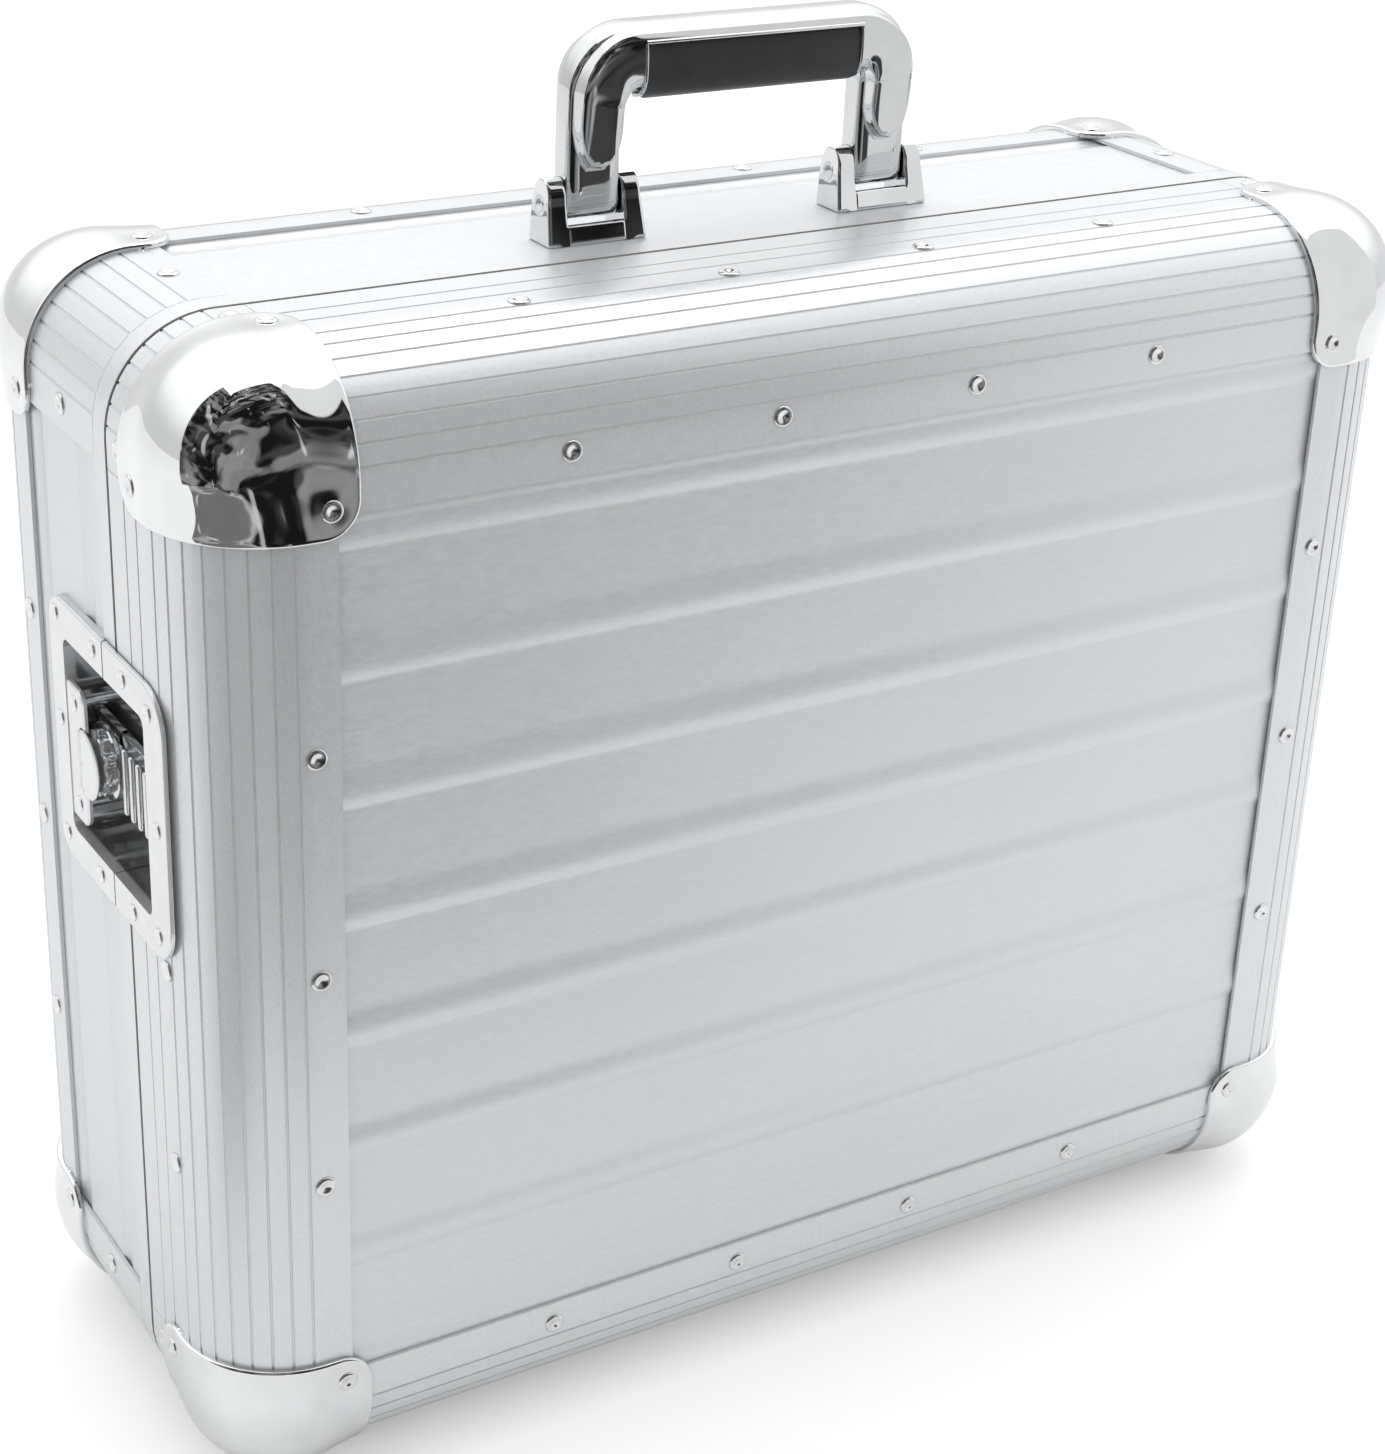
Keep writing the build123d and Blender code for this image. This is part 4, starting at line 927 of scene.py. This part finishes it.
def fullness(point, low, high):
    """0 in the middle of a face and 1 along its edge: 1 - (1 - u⁴)(1 - v⁴)."""
    share = np.abs(2 * (point - low) / (high - low) - 1)
    share = np.where(share > 0.9999, 0, share)
    return 1 - np.prod(1 - share**4, axis=-1)


def inside(span, value):
    """1 within a span, and smoothly down to 0 over the pocket's edge on both sides."""
    low, high = span
    return ease(low - POCKET_EDGE, low, value) * (1 - ease(high, high + POCKET_EDGE, value))


def wall_foam(low, high, axis, toward):
    """Foam wall, full in the middle of its face to the bay, with a pocket for the latch dish."""
    low, high = np.array(low, float), np.array(high, float)

    def shape(point, moved):
        share = (point[..., axis] - low[axis]) / (high[axis] - low[axis])
        share = share if toward > 0 else 1 - share
        moved[..., axis] -= toward * FOAM_FULL * share * fullness(point, low, high)
        if axis == 0:
            pocket = inside(POCKET_Y, point[..., 1]) * inside(POCKET_Z, point[..., 2])
            moved[..., 0] += toward * POCKET_DEPTH * (1 - share) * pocket
        return moved

    return rounded_block(low, high, FOAM_ROUND, 5.0, shape)


def tray_foam(low, high, toward):
    """Foam pad across y with an egg tray face: depth 5 (1 - cos cos) / 2, flat at its edge."""
    low, high = np.array(low, float), np.array(high, float)

    def shape(point, moved):
        share = (point[..., 1] - low[1]) / (high[1] - low[1])
        share = share if toward > 0 else 1 - share
        turn = 2 * math.pi * (point - [0, 0, MIDDLE_Z]) / TRAY_PITCH
        waves = np.cos(turn[..., 0]) * np.cos(turn[..., 2])
        border = np.minimum(point - low, high - point)[..., [0, 2]].min(-1)
        border = ease(0, PAD_BORDER, border)
        moved[..., 1] -= toward * TRAY_DEPTH * share * border * (1 - waves) / 2
        return moved

    return rounded_block(low, high, PAD_ROUND, 4.0, shape)


def install_foam(name, body, replaced, sheets):
    """Installs a foam piece."""
    piece = surface(name, sheets)
    install(piece, body, replaced)


def foam_walls(name, body, replaced, y_low, y_high):
    """Four foam walls round the bay of one half of the case."""
    sheets = []
    for side in (-1, 1):
        x = sorted(side * x for x in SIDE_WALL_X)
        z = SIDE_WALL_Z
        sheets += wall_foam((x[0], y_low, z[0]), (x[1], y_high, z[1]), 0, -side)
        x = (-END_WALL_HALF, END_WALL_HALF)
        z = sorted(MIDDLE_Z + side * rise for rise in END_WALL_RISE)
        sheets += wall_foam((x[0], y_low, z[0]), (x[1], y_high, z[1]), 2, -side)
    install_foam(name, body, replaced, sheets)


def foam_pad(name, body, replaced, y_low, y_high, toward):
    """Pad that the turntable lies against."""
    low, high = (-PAD_HALF, y_low, PAD_Z[0]), (PAD_HALF, y_high, PAD_Z[1])
    install_foam(name, body, replaced, tray_foam(low, high, toward))


foam_walls("front_foam_walls", "lid", "lid_foam_walls", -82.3, -31.0)
foam_walls("back_foam_walls", "base", "base_foam_walls", -22.8, 81.3)
foam_pad("front_foam_pad", "lid", "lid_foam_pad", -94.1, -81.5, 1)
foam_pad("back_foam_pad", "base", "base_foam_pad", 81.5, 94.1, -1)

# %% [markdown]
# ## Turning latches
# In each dish sits a drum with a round lid. A key folds out of that lid and turns the drum, and the
# drum pulls the claw over its keeper. The drum is one profile turned round, with a toothed band in
# which the radius swings between two values. The key and the fixed part of the lid are two parts of
# one disc.

# %% Latch drum
LATCH_Y, LATCH_Z = 4.0, 272.0
LID_RADIUS = 13.0
LID_TOP, LID_UNDER = 2.6, 1.65
KEY_EDGE = 3.9
FIXED_EDGE = 4.6
KEY_HINGE_Y = 7.0
KEY_HINGE_OUT = 1.1
LID_BEVEL, BEVEL_WIDTH = 0.5, 0.8
DENT_DEPTH = 0.6
TEETH = 10
TOOTH_DEPTH = 1.1
TOOTHED_ROWS = slice(3, 7)
DRUM_PROFILE = np.array([
    (-1.0, 0), (-1.0, 6), (-1.0, 10.6), (-1.15, 11.2), (-1.6, 11.6), (-4.0, 11.6),
    (-4.4, 11.4), (-4.6, 13.4), (-4.8, 14.2), (-5.3, 14.6), (-6.6, 14.6), (-7.1, 14.2),
    (-7.4, 13.4), (-7.4, 11.0), (-9.2, 11.0), (-9.3, 4.0), (-14.6, 4.0), (-14.6, 0),
])
POST_PROFILE = np.array([(1.0, 0), (1.0, 2.2), (-14.9, 2.2), (-14.9, 0)])


def on_wall(side, outward, y, z):
    """Points from how far they stand proud of a side wall, and their y and z."""
    outward, y, z = np.broadcast_arrays(outward, y, z)
    return np.stack([side * (outward - LEFT), y, z], -1)


def turned(side, y, z, profile, toothed=0.0, steps=161):
    """Grid of a turned piece that points out of a side wall.

    A profile of heights and radii is turned round y, z. Where toothed is 1 the radius swings
    between two values: r + 1.1 tanh(2 sin 10 a).
    """
    rows, around = unfold(np.arange(len(profile)), np.linspace(0, 2 * math.pi, steps))
    toothed = np.broadcast_to(toothed, len(profile))
    swing = np.tanh(2 * np.sin(TEETH * around))
    radius = profile[rows, 1] + TOOTH_DEPTH * toothed[rows] * swing
    return on_wall(side, profile[rows, 0], y + radius * np.cos(around), z + radius * np.sin(around))


def lid_part(side, edge, toward, dents=()):
    """Closed part of the round lid between a chord and the rim, its upper edge eased by 0.5.

    Across it u runs from the chord to the rim, along it an angle runs from one end of the chord to
    the other; the point is (1 - u) chord + u rim. A dent is 0.6 exp(-2 r²) deep.
    """
    reach = math.acos(edge * toward / LID_RADIUS) * 0.999
    across, angle = unfold(np.linspace(0, 1, 33), np.linspace(-reach, reach, 61))
    up = LID_RADIUS * np.sin(angle)
    out = edge + across * (toward * LID_RADIUS * np.cos(angle) - edge)
    border = np.minimum(LID_RADIUS - np.hypot(out, up), np.abs(out - edge))
    height = LID_TOP - LID_BEVEL * (1 - ease(0, BEVEL_WIDTH, border))
    for y, z in dents:
        height = height - DENT_DEPTH * np.exp(-2 * ((out - y) ** 2 + (up - z) ** 2))
    front = on_wall(side, height, LATCH_Y + out, LATCH_Z + up)
    back = on_wall(side, LID_UNDER, LATCH_Y + out, LATCH_Z + up)
    return slab(front, back)


def wall_block(side, out, y, z, rounding):
    """Rounded block on a side wall, from its spans outward, along y and along z."""
    x = sorted(side * (o - LEFT) for o in out)
    return rounded_block((x[0], y[0], z[0]), (x[1], y[1], z[1]), rounding)


# %% Latch plate
PLATE_Y = (4.6, 20.95)
PLATE_HALF = 27.0
PLATE_CORNER = 6.0
PLATE_HOLE = 12.3
PLATE_TOP = 1.7
POST_RISE = 20


def plate_sheets(side):
    """Plate from the dish's rim to a front edge, with half a round hole under the lid.

    Its front edge is a function of the height above the latch: a quarter circle at the corner, a
    straight, and the hole's circle in the middle.
    """
    bend = np.linspace(0, math.pi / 2, 12)
    corner = PLATE_HALF - PLATE_CORNER * (1 - np.cos(bend))
    straight = np.linspace(20.5, 12.6, 8)
    round_hole = PLATE_HOLE * np.cos(np.linspace(0.03, math.pi / 2, 30))
    rise = np.concatenate([corner, straight, round_hole])
    rise = np.concatenate([rise, -rise[-2::-1]])
    beyond = np.clip(np.abs(rise) - (PLATE_HALF - PLATE_CORNER), 0, None)
    edge = PLATE_Y[0] + PLATE_CORNER - np.sqrt(np.clip(PLATE_CORNER**2 - beyond**2, 0, None))
    hole = LATCH_Y + np.sqrt(np.clip(PLATE_HOLE**2 - rise**2, 0, None))
    edge = np.where(np.abs(rise) < PLATE_HOLE, np.maximum(edge, hole), edge)
    share, row = unfold(np.array([0, 0.02, 0.05, 0.1, 0.3, 0.6, 1.0]), np.arange(len(rise)))
    y = edge[row] + share * (PLATE_Y[1] - edge[row])
    near = np.minimum(y - edge[row], PLATE_HALF - np.abs(rise[row]))
    height = PLATE_TOP - LID_BEVEL * (1 - ease(0, BEVEL_WIDTH, near))
    z = LATCH_Z + rise[row]
    sheets = slab(on_wall(side, height, y, z), on_wall(side, 0.0, y, z))
    for up in (-POST_RISE, POST_RISE):
        sheets.append(turned(side, 14.0, LATCH_Z + up, POST_PROFILE, steps=33))
    return sheets


# %% Claw
CLAW_Z = (LATCH_Z - 13, LATCH_Z + 13)
BAR_OUT, BAR_Y = (-12.6, -9.6), (-37.5, -0.6)
BAR_ARM_Y, BAR_ARM_RISE = (-4.0, 20.3), (5.2, 13.0)
RIB_OUT, RIB_HALF = (-11.0, -4.6), 1.7
RIB_Y = (-35.8, -29.0, -22.2, -15.4)


def claw_sheets(side):
    """Pull bar under the drum, its two arms, and four upright ribs on its front end."""
    sheets = wall_block(side, BAR_OUT, BAR_Y, CLAW_Z, 0.5)
    for up in (-1, 1):
        arm_z = sorted(LATCH_Z + up * rise for rise in BAR_ARM_RISE)
        sheets += wall_block(side, BAR_OUT, BAR_ARM_Y, arm_z, 0.5)
    for y in RIB_Y:
        sheets += wall_block(side, RIB_OUT, (y - RIB_HALF, y + RIB_HALF), CLAW_Z, 1.3)
    return sheets


# %% Drum and key
LUG_OUT, LUG_Y, LUG_RISE, LUG_HALF = (-1.2, 1.6), (5.7, 7.4), 8.0, 1.2
NECK_OUT, NECK_Y, NECK_HALF = (-1.2, 1.9), (9.6, 13.0), 5
BARREL_RADIUS, BARREL_HALF = 1.3, 6.5
KEY_DENTS = ((2.2, 0), (1.6, 10.4), (1.6, -10.4))


def drum_sheets(side):
    """Turned drum, the fixed part of its lid on a neck, and the two lugs of the key's hinge."""
    toothed = np.zeros(len(DRUM_PROFILE))
    toothed[TOOTHED_ROWS] = 1
    sheets = [turned(side, LATCH_Y, LATCH_Z, DRUM_PROFILE, toothed)]
    for middle in (LATCH_Z - LUG_RISE, LATCH_Z + LUG_RISE):
        sheets += wall_block(side, LUG_OUT, LUG_Y, (middle - LUG_HALF, middle + LUG_HALF), 0.5)
    sheets += wall_block(side, NECK_OUT, NECK_Y, (LATCH_Z - NECK_HALF, LATCH_Z + NECK_HALF), 0.3)
    return sheets + lid_part(side, FIXED_EDGE, 1)


def key_sheets(side):
    """Folding part of the lid, with its dents, and the barrel of its hinge."""
    turn, level = unfold(np.linspace(0, 2 * math.pi, 17), np.arange(4))
    radius = np.array([0, BARREL_RADIUS, BARREL_RADIUS, 0])[level]
    height = BARREL_HALF * np.array([-1, -1, 1, 1])[level]
    out = KEY_HINGE_OUT + radius * np.cos(turn)
    barrel = on_wall(side, out, KEY_HINGE_Y + radius * np.sin(turn), LATCH_Z + height)
    return lid_part(side, KEY_EDGE, -1, KEY_DENTS) + [barrel]


# %% Latches on both sides
for label, side in (("left", -1), ("right", 1)):
    latch = f"latch_{label}"
    plate = surface(f"{label}_plate", plate_sheets(side), 35)
    install(plate, "base", latch + "_plate")
    drum = surface(f"{label}_drum", drum_sheets(side), 35)
    install(drum, latch + "_turn", latch + "_drum")
    key = surface(f"{label}_key", key_sheets(side), 35)
    install(key, latch + "_wing", latch + "_wing")
    claw = surface(f"{label}_claw", claw_sheets(side), 35)
    install(claw, latch + "_hook", latch + "_hook")

# %% [markdown]
# ## Handle brackets
# Each bracket is a small casting with two cheeks and a slot for the arm of the handle. Its front
# leans back, its tops are round, and every edge is softened, which is what catches the light. It is
# made of rounded blocks, whose points are moved to a front and a back line that follow the height.

# %% Handle brackets
BRACKET_X = 62.5
BRACKET_Y = (-7.0, 9.0)
BRACKET_Z = (443.45, 466.95)
SLOT_HALF = 11.6
CHEEK_OUTER = 20.5
CHEEK_TAPER = 2.0
KNEE_Z = 458.5
KNEE_FRONT = -3.6
CROWN_Y = 2.7
STOP_TOP, STOP_DEPTH = 450.45, 3
FOOT_TOP, FOOT_FRONT = 445.4, -5
PIN = (3.0, 457.0)
SEAT_RADIUS, SEAT_DEPTH = (2.3, 3.1), 0.7


def front_line(z):
    """Front of the bracket: a straight that leans back to the knee, then a quarter oval."""
    share = (z - BRACKET_Z[0]) / (KNEE_Z - BRACKET_Z[0])
    lean = BRACKET_Y[0] + (KNEE_FRONT - BRACKET_Y[0]) * share
    rise = np.clip((z - KNEE_Z) / (BRACKET_Z[1] - KNEE_Z), 0, 1)
    return np.where(z < KNEE_Z, lean, CROWN_Y - (CROWN_Y - KNEE_FRONT) * np.sqrt(1 - rise**2))


def back_line(z):
    """Back of the bracket: upright to the knee, then a quarter oval to the crown."""
    rise = np.clip((z - KNEE_Z) / (BRACKET_Z[1] - KNEE_Z), 0, 1)
    return CROWN_Y + (BRACKET_Y[1] - CROWN_Y) * np.sqrt(1 - rise**2)


def cheek_sheets(side):
    """One cheek. Its outer face leans in with height, and has a shallow round seat for the pin."""
    inner, outer = side * SLOT_HALF, side * CHEEK_OUTER
    low = (min(inner, outer), BRACKET_Y[0], BRACKET_Z[0])
    high = (max(inner, outer), BRACKET_Y[1], BRACKET_Z[1])

    def shape(point, moved):
        z = moved[..., 2]
        across = np.abs(point[..., 0] - inner) / (CHEEK_OUTER - SLOT_HALF)
        soft = np.where(across < 0.5, ease(STOP_TOP - 0.4, STOP_TOP + 0.8, z), 1)
        x = point[..., 0] + soft * (moved[..., 0] - point[..., 0])
        y = point[..., 1] + soft * (moved[..., 1] - point[..., 1])
        share = (y - BRACKET_Y[0]) / (BRACKET_Y[1] - BRACKET_Y[0])
        lean = np.abs(x - inner) / (CHEEK_OUTER - SLOT_HALF) * (z - BRACKET_Z[0])
        lean = lean / (BRACKET_Z[1] - BRACKET_Z[0])
        y = front_line(z) + share * (back_line(z) - front_line(z))
        seat = (1 - ease(*SEAT_RADIUS, np.hypot(y - PIN[0], z - PIN[1]))) * (across > 0.9)
        return np.stack([x - side * (CHEEK_TAPER * lean + SEAT_DEPTH * seat), y, z], -1)

    return rounded_block(low, high, 0.9, 0.8, shape)


def stop_shape(point, moved):
    """Moves the stop bar's front with the lean of the cheeks, a hair behind them."""
    y = moved[..., 1] - BRACKET_Y[0] + front_line(moved[..., 2]) + 0.02
    return np.stack([moved[..., 0], y, moved[..., 2]], -1)


def bracket_sheets(centre):
    """Two cheeks, the stop bar between them and the foot, moved to the bracket's place along x."""
    half = SLOT_HALF + 0.8
    front, back = BRACKET_Y
    bottom = BRACKET_Z[0]
    stop = (-half, front, bottom), (half, front + STOP_DEPTH, STOP_TOP)
    foot = (-half, FOOT_FRONT, bottom), (half, back - 0.1, FOOT_TOP)
    sheets = cheek_sheets(-1) + cheek_sheets(1)
    sheets += rounded_block(*stop, 0.8, 1.0, stop_shape) + rounded_block(*foot, 0.3)
    return [sheet + np.array([centre, 0, 0]) for sheet in sheets]


for label, side in (("left", -1), ("right", 1)):
    bracket = surface(f"{label}_bracket", bracket_sheets(side * BRACKET_X), 40)
    install(bracket, "base", f"handle_bracket_{label}")

scene.view_settings.view_transform = "Standard"
[[list(c) for c in box] for box in (cad_box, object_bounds())]
